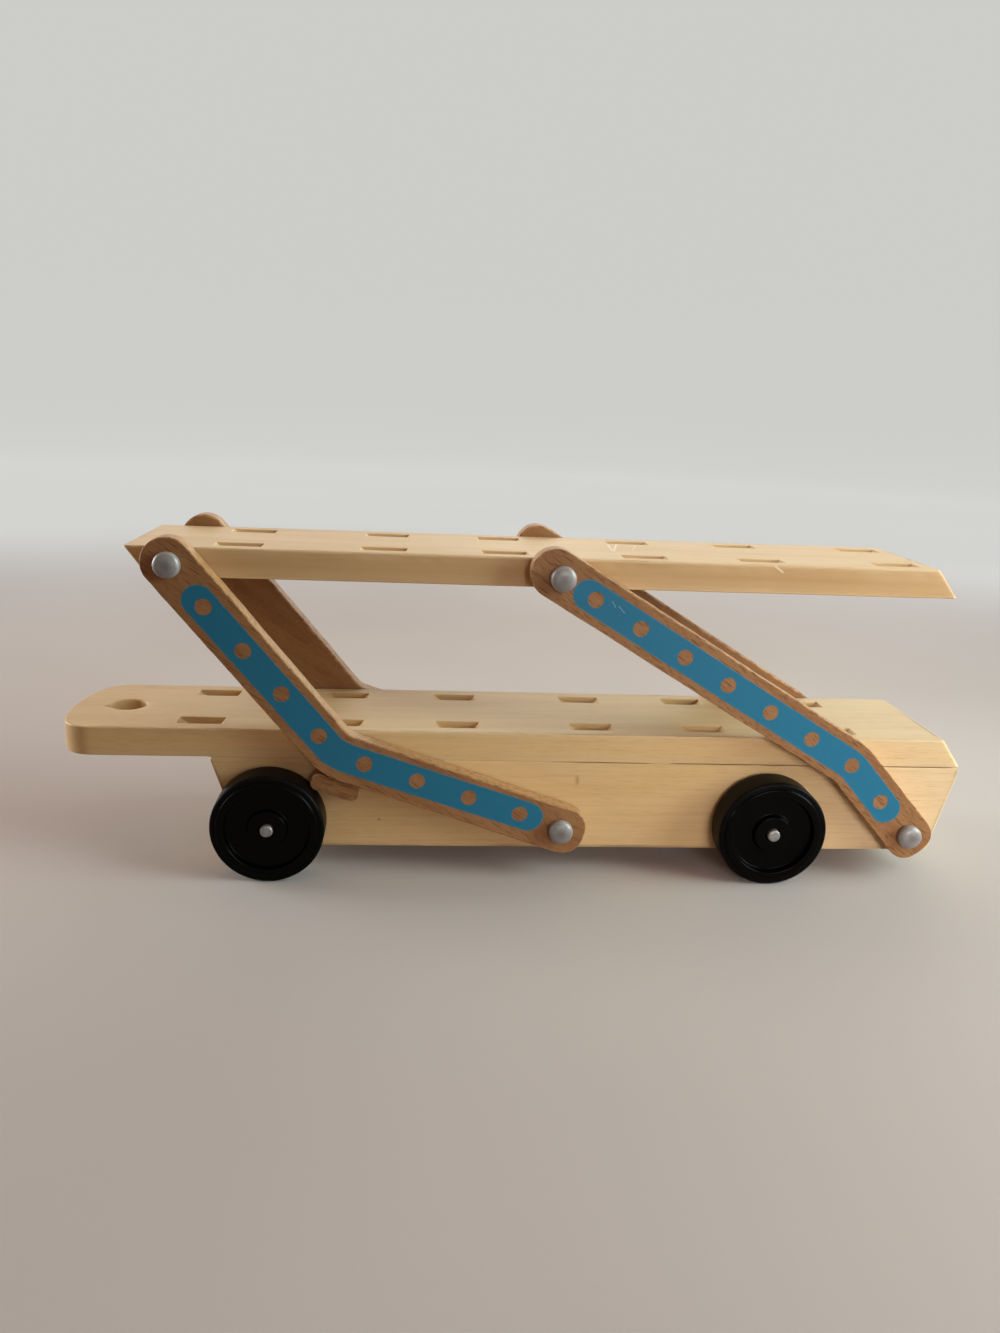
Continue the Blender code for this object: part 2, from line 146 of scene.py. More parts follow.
def filleted_loop(
    corners: Sequence[Flat], radii: Sequence[float], spacing: float, steps: int = 8
) -> tuple[Array, Array]:
    """Trace a closed loop of straight runs with rounded corners.

    A corner's arc starts r tan(turn / 2) before the corner. Once it has turned by a, its point lies
    at start + r (sin(h + a) - sin h, cos h - cos(h + a)), where h is the heading into the corner.

    Args:
        corners: The loop's corners, anticlockwise.
        radii: The radius of each corner's arc.
        spacing: The distance that points on a straight run may lie apart.
        steps: The number of steps in each arc.

    Returns:
        The points and their outward directions.
    """
    spots, bends = np.array(corners), np.array(radii)
    runs = np.roll(spots, -1, axis=0) - spots
    leaving = np.arctan2(runs[:, 1], runs[:, 0])
    entering = np.roll(leaving, 1)
    turns = (leaving - entering + pi) % (2 * pi) - pi
    backs = bends * np.tan(np.abs(turns) / 2)
    starts = spots - backs[:, None] * np.stack([np.cos(entering), np.sin(entering)], axis=1)
    angles = entering[:, None] + turns[:, None] * np.linspace(0.0, 1.0, steps + 1)
    swept = np.stack([np.sin(angles), -np.cos(angles)], axis=2)
    arcs = starts[:, None] + (bends * np.sign(turns))[:, None, None] * (swept - swept[:, :1])
    points, outward = [], []
    for arc, directions, end in zip(arcs, swept, np.roll(starts, -1, axis=0)):
        count = max(int(np.linalg.norm(end - arc[-1]) / spacing), 1)
        shares = np.arange(1, count)[:, None] / count
        points += [arc, arc[-1] + shares * (end - arc[-1])]
        outward += [directions, np.tile(directions[-1], (count - 1, 1))]
    return np.concatenate(points), np.concatenate(outward)


def loop_noise(points: Array, period: float, seed: int) -> Array:
    """Smooth random numbers from -1 to 1 along a closed loop.

    Random levels at evenly spaced knots are joined by half waves of a cosine.

    Args:
        points: The loop's points.
        period: The distance between knots.
        seed: The seed of the levels.

    Returns:
        One number for each point.
    """
    steps = np.linalg.norm(np.roll(points, -1, axis=0) - points, axis=1)
    run = np.concatenate([[0.0], np.cumsum(steps)])
    knots = max(round(run[-1] / period), 4)
    levels = np.random.default_rng(seed).uniform(-1.0, 1.0, knots)
    spot = run[:-1] / run[-1] * knots
    low = np.floor(spot).astype(int)
    share = (1 - np.cos(pi * (spot - low))) / 2
    return levels[low % knots] * (1 - share) + levels[(low + 1) % knots] * share


def worn_rim(outline: Array, outward: Array, ease: float, unevenness: float, rear_wear: float,
             seed: int) -> Array:
    """Work out an uneven rim round an outline, with more wear where the outline faces back.

    The radius is ease (1 + unevenness (broad + fine)) (1 + rear_wear x), where broad and fine are two
    noises along the outline and x is how far the outline faces back, at least 0.

    Args:
        outline: The outline's points.
        outward: Their outward directions.
        ease: The rim's mean radius.
        unevenness: The share by which broad and fine wear each change it.
        rear_wear: The share that is added where the outline faces straight back.
        seed: The seed of the wear.

    Returns:
        One radius for each point.
    """
    wear = loop_noise(outline, BROAD_PERIOD, seed) + loop_noise(outline, FINE_PERIOD, seed + 2)
    return ease * (1 + unevenness * wear) * (1 + rear_wear * np.maximum(outward[:, 0], 0.0))


def wall_share(depth: Array, thickness: float) -> Array:
    """How far a plate's depth belongs to its wall: its least distance to a face, over a fade, less 1."""
    return np.clip(np.minimum(depth, thickness - depth) / WALL_FADE - 1.0, 0.0, 1.0)


def eased_section(thickness: float, first: Array, last: Array) -> tuple[Array, Array, Array]:
    """Work out the edge of a plate with rounded rims at every point of its outline.

    Over a quarter turn a, a rim of radius r draws in by r (1 - sin a) and drops by r (1 - cos a).
    A narrow flat lip on both faces and on the wall keeps the rounding's shading to itself.

    Args:
        thickness: The plate's thickness.
        first: The radius of the first face's rim at each point.
        last: The radius of the other face's rim at each point.

    Returns:
        The inset and the depth under the first face, row by row, and each row's share of rounding.
    """
    turn = np.linspace(0.0, pi / 2, ROUND_STEPS + 1)[:, None]
    none = np.zeros((1, len(first)))
    middle = (first + thickness - last) / 2
    walls = np.stack([first + FACE_LIP, middle, thickness - last - FACE_LIP])
    inset = [first[None] + FACE_LIP, first * (1 - np.sin(turn)), 0 * walls,
             (last * (1 - np.sin(turn)))[::-1], last[None] + FACE_LIP]
    depth = [none, first * (1 - np.cos(turn)), walls,
             thickness - (last * (1 - np.cos(turn)))[::-1], none + thickness]
    rim = 0.5 + 0.5 * np.sin(2 * turn)
    ease = np.concatenate([[[0.0]], rim, np.zeros((3, 1)), rim, [[0.0]]])
    return np.concatenate(inset), np.concatenate(depth), ease


def flat_fill(loops: Sequence[Array]) -> Array:
    """Fill a flat loop around convex holes, out to the loop's convex hull.

    The Delaunay triangles keep every edge of every loop. A triangle with its three corners on one
    hole lies inside that hole, so it is dropped. Where a worn loop waves inwards, the fill also spans
    the shallow bay outside it, so the piece isn't closed there.

    Args:
        loops: The outer loop and then each hole, as flat points.

    Returns:
        Triangles that number the loops' points laid end to end.
    """
    sizes = [len(loop) for loop in loops]
    starts = np.cumsum([0, *sizes[:-1]])
    edges = [start + np.stack([np.arange(size), np.roll(np.arange(size), -1)], axis=1)
             for start, size in zip(starts, sizes)]
    points = np.concatenate(loops) * FILL_SCALE
    made = delaunay_2d_cdt(points.tolist(), np.concatenate(edges).tolist(), [], 0, FILL_MARGIN)
    if len(made[0]) != len(points):
        raise ValueError("the flat fill added or merged points")
    triangles = np.array(made[2])
    owner = np.repeat(np.arange(len(loops)), sizes)[triangles]
    in_hole = (owner[:, 0] > 0) & (owner == owner[:, :1]).all(axis=1)
    return triangles[~in_hole]


def circle(centre: Flat, radius: Array | float, segments: int) -> Array:
    """Points round a circle, at centre + radius (cos a, sin a)."""
    angle = np.linspace(0.0, 2 * pi, segments, endpoint=False)
    return np.array(centre) + (radius * np.stack([np.cos(angle), np.sin(angle)])).T


@dataclass
class Surface:
    """Patches of points and faces that are welded into one piece.

    Every point carries its ease, from 0 on a face to 1 on a rounded edge, and a guide of three
    numbers that the piece's finish reads.
    """

    points: list[Array] = field(default_factory=list)
    faces: list[list[int]] = field(default_factory=list)
    eases: list[Array] = field(default_factory=list)
    guides: list[Array] = field(default_factory=list)
    count: int = 0

    def add(self, points: Array, faces: Array, ease: Array | float = 0.0,
            guide: Array | Place = (0.0, 0.0, 0.0)) -> None:
        """Add one patch.

        Args:
            points: The patch's points, in any number of rows.
            faces: The faces, which number the points from zero.
            ease: The share of rounding, for each point or row.
            guide: The guide, for each point or for all.
        """
        shape = points.shape[:-1]
        self.points.append(points.reshape(-1, 3))
        self.faces.extend((faces + self.count).tolist())
        self.eases.append(np.broadcast_to(ease, shape).reshape(-1))
        self.guides.append(np.broadcast_to(guide, (*shape, 3)).reshape(-1, 3))
        self.count += len(self.points[-1])

    def add_grid(self, points: Array, wrap_rows: bool = False, wrap_columns: bool = False,
                 ease: Array | float = 0.0, guide: Array | Place = (0.0, 0.0, 0.0)) -> None:
        """Add a patch of quads on a grid of points.

        Args:
            points: Rows of points.
            wrap_rows: Whether the last row joins the first.
            wrap_columns: Whether the last column joins the first.
            ease: The share of rounding, for each point or row.
            guide: The guide, for each point or for all.
        """
        self.add(points, grid_faces(*points.shape[:2], wrap_rows, wrap_columns), ease, guide)

    def piece(self, name: str, material: bpy.types.Material, body: str, slot: Slot,
              nodes: Sequence[str]) -> bpy.types.Object:
        """Weld the patches into a mesh and set it in the frame.

        Args:
            name: The piece's name.
            material: The finish.
            body: The body that the piece moves with.
            slot: The material slot. Not used.
            nodes: The frame's nodes that the piece stands for.

        Returns:
            The new object.
        """
        mesh = bpy.data.meshes.new(name)
        mesh.from_pydata(np.concatenate(self.points), [], self.faces)
        ease = mesh.attributes.new("ease", "FLOAT", "POINT")
        ease.data.foreach_set("value", np.concatenate(self.eases))
        guide = mesh.attributes.new("guide", "FLOAT_VECTOR", "POINT")
        guide.data.foreach_set("vector", np.concatenate(self.guides).ravel())
        welded = bmesh.new()
        welded.from_mesh(mesh)
        bmesh.ops.remove_doubles(welded, verts=welded.verts, dist=WELD)
        bmesh.ops.recalc_face_normals(welded, faces=welded.faces)
        welded.to_mesh(mesh)
        welded.free()
        mesh.shade_smooth()
        mesh.set_sharp_from_angle(angle=SHARP_ANGLE)
        mesh.materials.append(material)
        made = bpy.data.objects.new(name, mesh)
        bpy.context.scene.collection.objects.link(made)
        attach(made, body)
        if nodes:
            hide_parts(*nodes)
        LOG.info("%s: %d faces on %s", name, len(mesh.polygons), body)
        return made


def math_method(operation: str, swapped: bool = False) -> Callable[["Reading", "Reading | float"], "Reading"]:
    """Make a method that adds a Math node.

    Args:
        operation: The node's operation.
        swapped: Whether the method's own reading comes second.

    Returns:
        The method, which takes a reading and another value.
    """
    def method(self: "Reading", other: "Reading | float") -> "Reading":
        """The operation worked on the two values."""
        return self.math(operation, *((other, self) if swapped else (self, other)))

    return method


class Reading:
    """A node's output that takes part in Python arithmetic: every operator adds a Math node.

    Its methods least and most keep the smaller and the larger of two values.
    """

    def __init__(self, sheet: "NodeSheet", socket: bpy.types.NodeSocket) -> None:
        """Keep the sheet that holds the node, and the output itself."""
        self.sheet = sheet
        self.socket = socket

    def math(self, operation: str, *values: "Reading | float") -> "Reading":
        """Add a Math node that works the operation on the values in order."""
        return self.sheet.node("ShaderNodeMath", {"operation": operation}, dict(enumerate(values)))

    __add__ = __radd__ = math_method("ADD")
    __sub__, __rsub__ = math_method("SUBTRACT"), math_method("SUBTRACT", swapped=True)
    __mul__ = __rmul__ = math_method("MULTIPLY")
    __truediv__, __rtruediv__ = math_method("DIVIDE"), math_method("DIVIDE", swapped=True)
    __pow__ = math_method("POWER")
    least, most = math_method("MINIMUM"), math_method("MAXIMUM")

    def floor(self) -> "Reading":
        """The whole number at or below this."""
        return self.math("FLOOR", self)

    def ramp(self, start: float, end: float) -> "Reading":
        """A smooth step from 0 at start to 1 at end, where end may be the lower one.

        Args:
            start: The value at which the step is 0.
            end: The value at which it is 1.

        Returns:
            The step.
        """
        settings = {"interpolation_type": "SMOOTHSTEP"}
        low, high = min(start, end), max(start, end)
        step = self.sheet.node("ShaderNodeMapRange", settings, {0: self, 1: low, 2: high})
        return step if start < end else 1 - step


class NodeSheet:
    """The nodes of one material around its Principled shader."""

    def __init__(self, name: str, constants: dict[str, float | Colour]) -> None:
        """Start a material and set what is the same all over it.

        Args:
            name: The material's name.
            constants: Values for the shader's own sockets.
        """
        self.material = bpy.data.materials.new(name)
        self.material.use_nodes = True
        self.tree = self.material.node_tree
        self.tree.nodes.clear()
        self.shader = self.tree.nodes.new("ShaderNodeBsdfPrincipled")
        output = self.tree.nodes.new("ShaderNodeOutputMaterial")
        self.tree.links.new(self.shader.outputs[0], output.inputs[0])
        for socket, value in constants.items():
            self.feed(self.shader.inputs[socket], value)
        self.spot = self.node("ShaderNodeTexCoord", {}, {}, "Object")

    def feed(self, socket: bpy.types.NodeSocket, value: "Reading | float | Sequence[float]") -> None:
        """Link a reading to a socket, or set the socket's own value.

        Args:
            socket: The input.
            value: The reading to link, or the value to set.
        """
        if isinstance(value, Reading):
            self.tree.links.new(value.socket, socket)
        else:
            socket.default_value = (*value, 1.0) if socket.type == "RGBA" else value

    def node(self, kind: str, settings: dict, inputs: dict, output: int | str = 0) -> Reading:
        """Add any node.

        Args:
            kind: The node's type.
            settings: Its settings, which are set first.
            inputs: The value or reading of each input, by its name or number.
            output: The output that is wanted.

        Returns:
            That output.
        """
        made = self.tree.nodes.new(kind)
        for setting, value in settings.items():
            setattr(made, setting, value)
        for socket, value in inputs.items():
            self.feed(made.inputs[socket], value)
        return Reading(self, made.outputs[output])

    def split(self, vector: Reading) -> tuple[Reading, Reading, Reading]:
        """The three parts of a vector."""
        parts = self.node("ShaderNodeSeparateXYZ", {}, {0: vector}).socket.node.outputs
        return Reading(self, parts[0]), Reading(self, parts[1]), Reading(self, parts[2])

    def attribute(self, name: str, output: str) -> Reading:
        """One of the piece's own attributes."""
        return self.node("ShaderNodeAttribute", {"attribute_name": name}, {}, output)

    def space(self, size: Place, origin: Place = (0.0, 0.0, 0.0), tilt: float = 0.0) -> Reading:
        """Object coordinates counted in pattern sizes, from an origin, tilted about Y."""
        inputs = {"Vector": self.spot, "Location": origin, "Rotation": (0.0, tilt, 0.0), "Scale": size}
        return self.node("ShaderNodeMapping", {"vector_type": "TEXTURE"}, inputs)

    def noise(self, space: Reading, detail: float = 2.0, roughness: float = 0.5) -> Reading:
        """Smooth noise about 0.5, with features one unit of the space across."""
        inputs = {"Vector": space, "Scale": 1.0, "Detail": detail, "Roughness": roughness}
        return self.node("ShaderNodeTexNoise", {}, inputs)

    def cells(self, space: Reading) -> Reading:
        """Distance to the nearest of scattered points."""
        return self.node("ShaderNodeTexVoronoi", {}, {"Vector": space, "Scale": 1.0}, "Distance")

    def chance(self, number: Reading) -> Reading:
        """A random value from 0 to 1 that belongs to a number."""
        return self.node("ShaderNodeTexWhiteNoise", {"noise_dimensions": "1D"}, {"W": number})

    def blend(self, share: Reading | float, first: Reading | Colour, second: Reading | Colour) -> Reading:
        """Mix two colours."""
        return self.node("ShaderNodeMix", {"data_type": "RGBA"}, {0: share, 6: first, 7: second}, 2)

    def layered(self, base: Reading | Colour, *layers: tuple[Reading, Reading | Colour]) -> Reading:
        """Lay colours over a base in order, each through its own mask.

        Args:
            base: The colour underneath.
            layers: The mask and the colour of each layer.

        Returns:
            The finished colour.
        """
        for mask, colour in layers:
            base = self.blend(mask, base, colour)
        return base

    def stroke(self, start: Place, end: Place, width: float) -> Reading:
        """A soft line between two places, from 1 on it to 0 at its width.

        The nearest point of the line lies at the share t = (p - start) . axis / axis² of its length,
        kept between 0 and 1.

        Args:
            start: The line's first end.
            end: Its other end.
            width: The distance at which the line has faded.

        Returns:
            The line's mask.
        """
        axis = Vector(end) - Vector(start)
        vector = "ShaderNodeVectorMath"
        offset = self.node(vector, {"operation": "SUBTRACT"}, {0: self.spot, 1: start})
        along = self.node(vector, {"operation": "DOT_PRODUCT"}, {0: offset, 1: axis}, "Value")
        share = (along / axis.length_squared).most(0.0).least(1.0)
        nearest = self.node(vector, {"operation": "SCALE"}, {0: tuple(axis), "Scale": share})
        gap = self.node(vector, {"operation": "DISTANCE"}, {0: offset, 1: nearest}, "Value")
        return gap.ramp(width, STROKE_CORE * width)

    def dress(self, colour: Reading, roughness: Reading, height: Reading, lift: float,
              strength: float = 1.0) -> bpy.types.Material:
        """Feed the shader from the finished readings.

        Args:
            colour: The base colour.
            roughness: The roughness.
            height: The relief, from 0 to about 1.
            lift: The real height of a relief of 1.
            strength: The share of the relief that shows.

        Returns:
            The material.
        """
        inputs = {"Strength": strength, "Distance": lift, "Height": height}
        self.feed(self.shader.inputs["Base Color"], colour)
        self.feed(self.shader.inputs["Roughness"], roughness)
        self.feed(self.shader.inputs["Normal"], self.node("ShaderNodeBump", {}, inputs))
        return self.material


@dataclass(frozen=True)
class Mark:
    """A scratch, chip or stain: a soft stroke of colour on the wood."""

    start: Place
    end: Place
    width: float
    colour: Colour
    strength: float = 0.8


@dataclass(frozen=True)
class BoardWood:
    """Pale softwood with fine straight grain along X, cut from rings round a far heart line."""

    name: str
    heart: Flat
    lean: Flat
    seed: float
    marks: tuple[Mark, ...] = ()
    early: Colour = (0.735, 0.560, 0.320)
    late: Colour = (0.640, 0.440, 0.215)
    streak: Colour = (0.560, 0.370, 0.180)
    end_tone: Colour = (0.560, 0.375, 0.185)
    worn: Colour = (0.800, 0.640, 0.400)
    # The side tone and its share are painted shade: a warmer, mostly darker tone on the long sides that face
    # across the trailer.
    side_shade_tone: Colour = (0.500, 0.302, 0.126)
    side_shade_share: float = 0.0
    # The pale tone, its share and its span are painted light: the wood grows paler along X towards the rear
    # end, where the light falls strongest.
    pale: Colour = (0.800, 0.700, 0.500)
    rear_light_share: float = 0.0
    rear_light_span: Flat = (0.070, 0.140)
    ring: float = 0.0026
    wander: float = 0.0035
    sway_size: Place = (0.120, 0.020, 0.020)
    cloud_size: Place = (0.060, 0.012, 0.012)
    fibre_size: Place = (0.024, 0.0010, 0.0010)
    hair_size: Place = (0.0060, 0.00034, 0.00034)
    dash_size: Place = (0.0075, 0.00075, 0.00075)
    pore_size: Place = (0.010, 0.00045, 0.00045)
    rub_size: Place = (0.006, 0.003, 0.003)
    gloss: float = 0.32
    relief: Flat = (0.00007, 0.6)

    def material(self) -> bpy.types.Material:
        """Build the wood: growth rings, fibres, cloudy tone, end grain, worn edges and marks, with painted
        shade on the long sides and painted light towards the rear end.

        Returns:
            The material.
        """
        sheet = NodeSheet(self.name, {"Specular IOR Level": self.gloss, "IOR": LACQUER_IOR})
        seed = (self.seed, 0.37 * self.seed, 0.71 * self.seed)
        x, y, z = sheet.split(sheet.spot)
        ends, cut, side = sheet.split(sheet.attribute("guide", "Vector"))
        ease = sheet.attribute("ease", "Fac")
        sway = sheet.noise(sheet.space(self.sway_size, seed)) - 0.5
        across = y - self.heart[0] + x * self.lean[0] + sway * self.wander
        up = z - self.heart[1] + x * self.lean[1]
        rings = (across * across + up * up) ** 0.5 / self.ring
        year = rings.floor()
        share = rings - year
        late = share.ramp(0.30, 0.92) * share.ramp(1.0, 0.92) * (0.25 + 0.75 * sheet.chance(year))
        cloud = sheet.noise(sheet.space(self.cloud_size, seed))
        fibre = sheet.noise(sheet.space(self.fibre_size, seed), *ROUGH_NOISE)
        hair = sheet.noise(sheet.space(self.hair_size, seed), 2.0, 0.6)
        dashes = sheet.cells(sheet.space(self.dash_size, seed)).ramp(0.42, 0.16)
        pores = sheet.noise(sheet.space(self.pore_size, seed), 2.0, 0.65)
        rub = sheet.noise(sheet.space(self.rub_size, seed), *ROUGH_NOISE)
        colour = sheet.layered(
            self.early,
            (late * 0.45, self.late),
            (cloud.ramp(0.42, 0.75) * 0.45, self.late),
            # Painted shade: the long sides, which the guide's third number marks, take the side tone.
            (side * (0.55 + 0.9 * cloud) * self.side_shade_share, self.side_shade_tone),
            # Painted light: paler towards the rear end.
            (x.ramp(*self.rear_light_span) * self.rear_light_share, self.pale),
            (fibre.ramp(0.48, 0.75) * 0.34, self.streak),
            (hair.ramp(0.55, 0.78) * 0.34, self.streak),
            (dashes * cloud.ramp(0.35, 0.60) * 0.30, self.streak),
            (ends * (0.35 + 0.5 * pores.ramp(0.40, 0.75)), self.end_tone),
            # Pocket sides: partly the cut fibres' own tone, partly painted shade inside the pocket.
            (cut * (0.25 + 0.35 * fibre), self.streak),
            (ease * rub.ramp(0.35, 0.65) * 0.45, self.worn),
            *((sheet.stroke(mark.start, mark.end, mark.width) * mark.strength, mark.colour)
              for mark in self.marks),
        )
        roughness = 0.50 + 0.14 * (fibre - 0.5) + 0.12 * ends + 0.10 * cut - 0.05 * ease
        height = 0.45 * fibre + 0.25 * hair + 0.30 * late + 0.35 * ends * pores
        return sheet.dress(colour, roughness, height, *self.relief)


@dataclass(frozen=True)
class StripPaint:
    """A painted strip with round ends and a row of bare dots, along an arm's centre line.

    Distances run from the upper pivot; offsets are to the left of the way down.
    """

    length: float
    first_cap: float
    last_cap: float
    first_dot: float
    dot_pitch: float
    first_offset: float
    last_offset: float
    scratches: tuple[tuple[Flat, Flat], ...] = ()
    half_width: float = 0.0048
    dot_radius: float = 0.00245
    dots: int = 8
    colour: Colour = (0.014, 0.180, 0.320)
    worn: Colour = (0.110, 0.310, 0.440)
    scar: Colour = (0.480, 0.520, 0.500)
    blur: float = 0.00006
    worn_border: float = 0.00045
    film: Flat = (0.00022, 0.00008)
    scratch_width: float = 0.00014

    def masks(self, sheet: NodeSheet, wobble: Reading) -> tuple[Reading, Reading, Reading, Reading]:
        """Work out where the paint lies.

        The strip is all points within half its width of a line between the caps' centres, less
        those within a dot's radius of the nearest dot, on the outer face only.

        Args:
            sheet: The arm's nodes.
            wobble: A small uneven distance added to every border.

        Returns:
            The paint's mask, the distance to its outer border, and the distances down the arm and aside.
        """
        run, aside, depth = sheet.split(sheet.attribute("guide", "Vector"))
        down = self.length - run
        slope = (self.last_offset - self.first_offset) / (self.last_cap - self.first_cap)
        across = aside + self.first_offset + (down - self.first_cap) * slope
        beyond = (self.first_cap - down).most(down - self.last_cap).most(0.0)
        border = (beyond * beyond + across * across) ** 0.5 - self.half_width + wobble
        nearest = ((down - self.first_dot) / self.dot_pitch + 0.5).floor()
        number = nearest.most(0.0).least(self.dots - 1.0)
        along = down - self.first_dot - number * self.dot_pitch
        dot = (along * along + across * across) ** 0.5 - self.dot_radius + wobble
        paint = border.ramp(self.blur, -self.blur) * dot.ramp(-self.blur, self.blur)
        return paint * depth.ramp(*self.film), border, down, aside


@dataclass(frozen=True)
class ArmBeech:
    """Reddish beech with short dark pore flecks along the grain, and a painted strip on the outer face."""

    name: str
    tilt: float
    seed: float
    paint: StripPaint | None = None
    fleck_share: float = 0.74
    base: Colour = (0.350, 0.182, 0.075)
    warm: Colour = (0.265, 0.120, 0.044)
    fleck: Colour = (0.130, 0.054, 0.020)
    ray: Colour = (0.530, 0.315, 0.150)
    edge: Colour = (0.600, 0.380, 0.200)
    # The side colour is painted light: the side walls are laid lighter than the faces, for the light that
    # they catch.
    side: Colour = (0.630, 0.380, 0.172)
    thickness: float = 0.0062
    skin: Flat = (0.0004, 0.0009)
    tone_size: Place = (0.050, 0.006, 0.006)
    fibre_size: Place = (0.012, 0.0006, 0.0006)
    bend_size: Place = (0.010, 0.004, 0.004)
    line_size: Place = (0.030, 0.00042, 0.00042)
    fleck_size: Place = (0.0072, 0.00064, 0.00072)
    speck_size: Place = (0.0032, 0.00045, 0.00052)
    ray_size: Place = (0.0030, 0.0011, 0.00045)
    rub_size: Place = (0.0030, 0.0016, 0.0016)
    ragged_size: Place = (0.0022, 0.0009, 0.0009)
    scuff_size: Place = (0.0035, 0.0008, 0.0008)
    hair_size: Place = (0.0050, 0.00016, 0.00016)
    hair_tilt: float = 0.9
    ragged: float = 0.00042
    gloss: float = 0.35
    bare_relief: Flat = (0.00008, 0.6)
    painted_relief: Flat = (0.00010, 0.7)

    def material(self) -> bpy.types.Material:
        """Build the beech: tone, fibres, two sizes of flecks, pale rays, paint and scratches.

        Returns:
            The material.
        """
        sheet = NodeSheet(self.name, {"Specular IOR Level": self.gloss, "IOR": LACQUER_IOR})
        seed = (self.seed, 0.53 * self.seed, 0.29 * self.seed)
        ray_seed = (self.seed + 3.0, 0.0, 0.0)

        def grain(size: Place) -> Reading:
            """Coordinates that run with the grain."""
            return sheet.space(size, seed, self.tilt)

        tone = sheet.noise(grain(self.tone_size))
        fibre = sheet.noise(grain(self.fibre_size), *ROUGH_NOISE)
        bend = sheet.noise(grain(self.bend_size))
        lines = sheet.noise(grain(self.line_size), 2.0, 0.6)
        rub = sheet.noise(sheet.space(self.rub_size, seed), *ROUGH_NOISE)
        flecks = sheet.cells(grain(self.fleck_size)).ramp(0.42, 0.20) * bend.ramp(0.34, 0.54)
        specks = sheet.cells(grain(self.speck_size)).ramp(0.40, 0.18) * bend.ramp(0.66, 0.44)
        rays = sheet.cells(sheet.space(self.ray_size, ray_seed, self.tilt)).ramp(0.28, 0.12)
        _, _, depth = sheet.split(sheet.attribute("guide", "Vector"))
        ease = sheet.attribute("ease", "Fac")
        thin, thick = self.skin
        wall = depth.ramp(thin, thick) * depth.ramp(self.thickness - thin, self.thickness - thick)
        calm = self.fleck_share * (1 - 0.6 * depth.ramp(self.thickness - thick, self.thickness - thin))
        colour = sheet.layered(
            self.base,
            (tone.ramp(0.35, 0.70) * 0.75, self.warm),
            (fibre.ramp(0.52, 0.80) * 0.45, self.warm),
            (rays * 0.35, self.ray),
            # Painted light: the side walls between the two faces are laid lighter than the faces.
            (wall * 0.70, self.side),
            (lines.ramp(0.50, 0.72) * (0.35 + 0.30 * wall), self.warm),
            (flecks * calm, self.fleck),
            (specks * 0.85 * calm, self.fleck),
            (ease * rub.ramp(0.40, 0.60) * 0.65, self.edge),
            (ease * rub.ramp(0.42, 0.30) * 0.55, self.fleck),
        )
        roughness = 0.50 + 0.16 * (fibre - 0.5) + 0.15 * flecks
        height = 0.5 * fibre + 0.25 - 0.6 * flecks - 0.4 * specks
        if self.paint is None:
            return sheet.dress(colour, roughness, height, *self.bare_relief)
        ragged = sheet.noise(grain(self.ragged_size)) - 0.5
        paint, border, down, aside = self.paint.masks(sheet, ragged * self.ragged)
        scuffs = sheet.noise(sheet.space(self.scuff_size, seed, -self.tilt), 3.0, 0.65)
        hairs = sheet.noise(sheet.space(self.hair_size, seed, self.tilt + self.hair_tilt), 1.0)
        coat = sheet.layered(
            self.paint.colour,
            (scuffs.ramp(0.60, 0.80) * 0.22, self.paint.worn),
            (border.ramp(-self.paint.worn_border, 0.0) * 0.30, self.paint.worn),
            (hairs.ramp(0.70, 0.78) * scuffs.ramp(0.48, 0.62) * 0.40, self.paint.scar),
            *((scratch(down, aside, start, end, self.paint.scratch_width) * 0.60, self.paint.scar)
              for start, end in self.paint.scratches),
        )
        colour = sheet.blend(paint, colour, coat)
        roughness = roughness * (1 - paint) + (0.36 + 0.12 * scuffs) * paint
        height = height * (1 - 0.75 * paint) + 0.55 * paint
        return sheet.dress(colour, roughness, height, *self.painted_relief)


def scratch(down: Reading, aside: Reading, start: Flat, end: Flat, width: float) -> Reading:
    """A thin straight line in an arm's own flat coordinates.

    The distance from the line is taken at the nearest share of its length, as for a stroke.

    Args:
        down: Distance from the upper pivot.
        aside: Distance to the left of the way up.
        start: The line's first end, as down and aside.
        end: Its other end.
        width: The distance at which the line has faded.

    Returns:
        The line's mask.
    """
    long, wide = end[0] - start[0], end[1] - start[1]
    away, off = down - start[0], aside - start[1]
    share = ((away * long + off * wide) / (long * long + wide * wide)).most(0.0).least(1.0)
    away, off = away - share * long, off - share * wide
    return ((away * away + off * off) ** 0.5).ramp(width, SCRATCH_CORE * width)


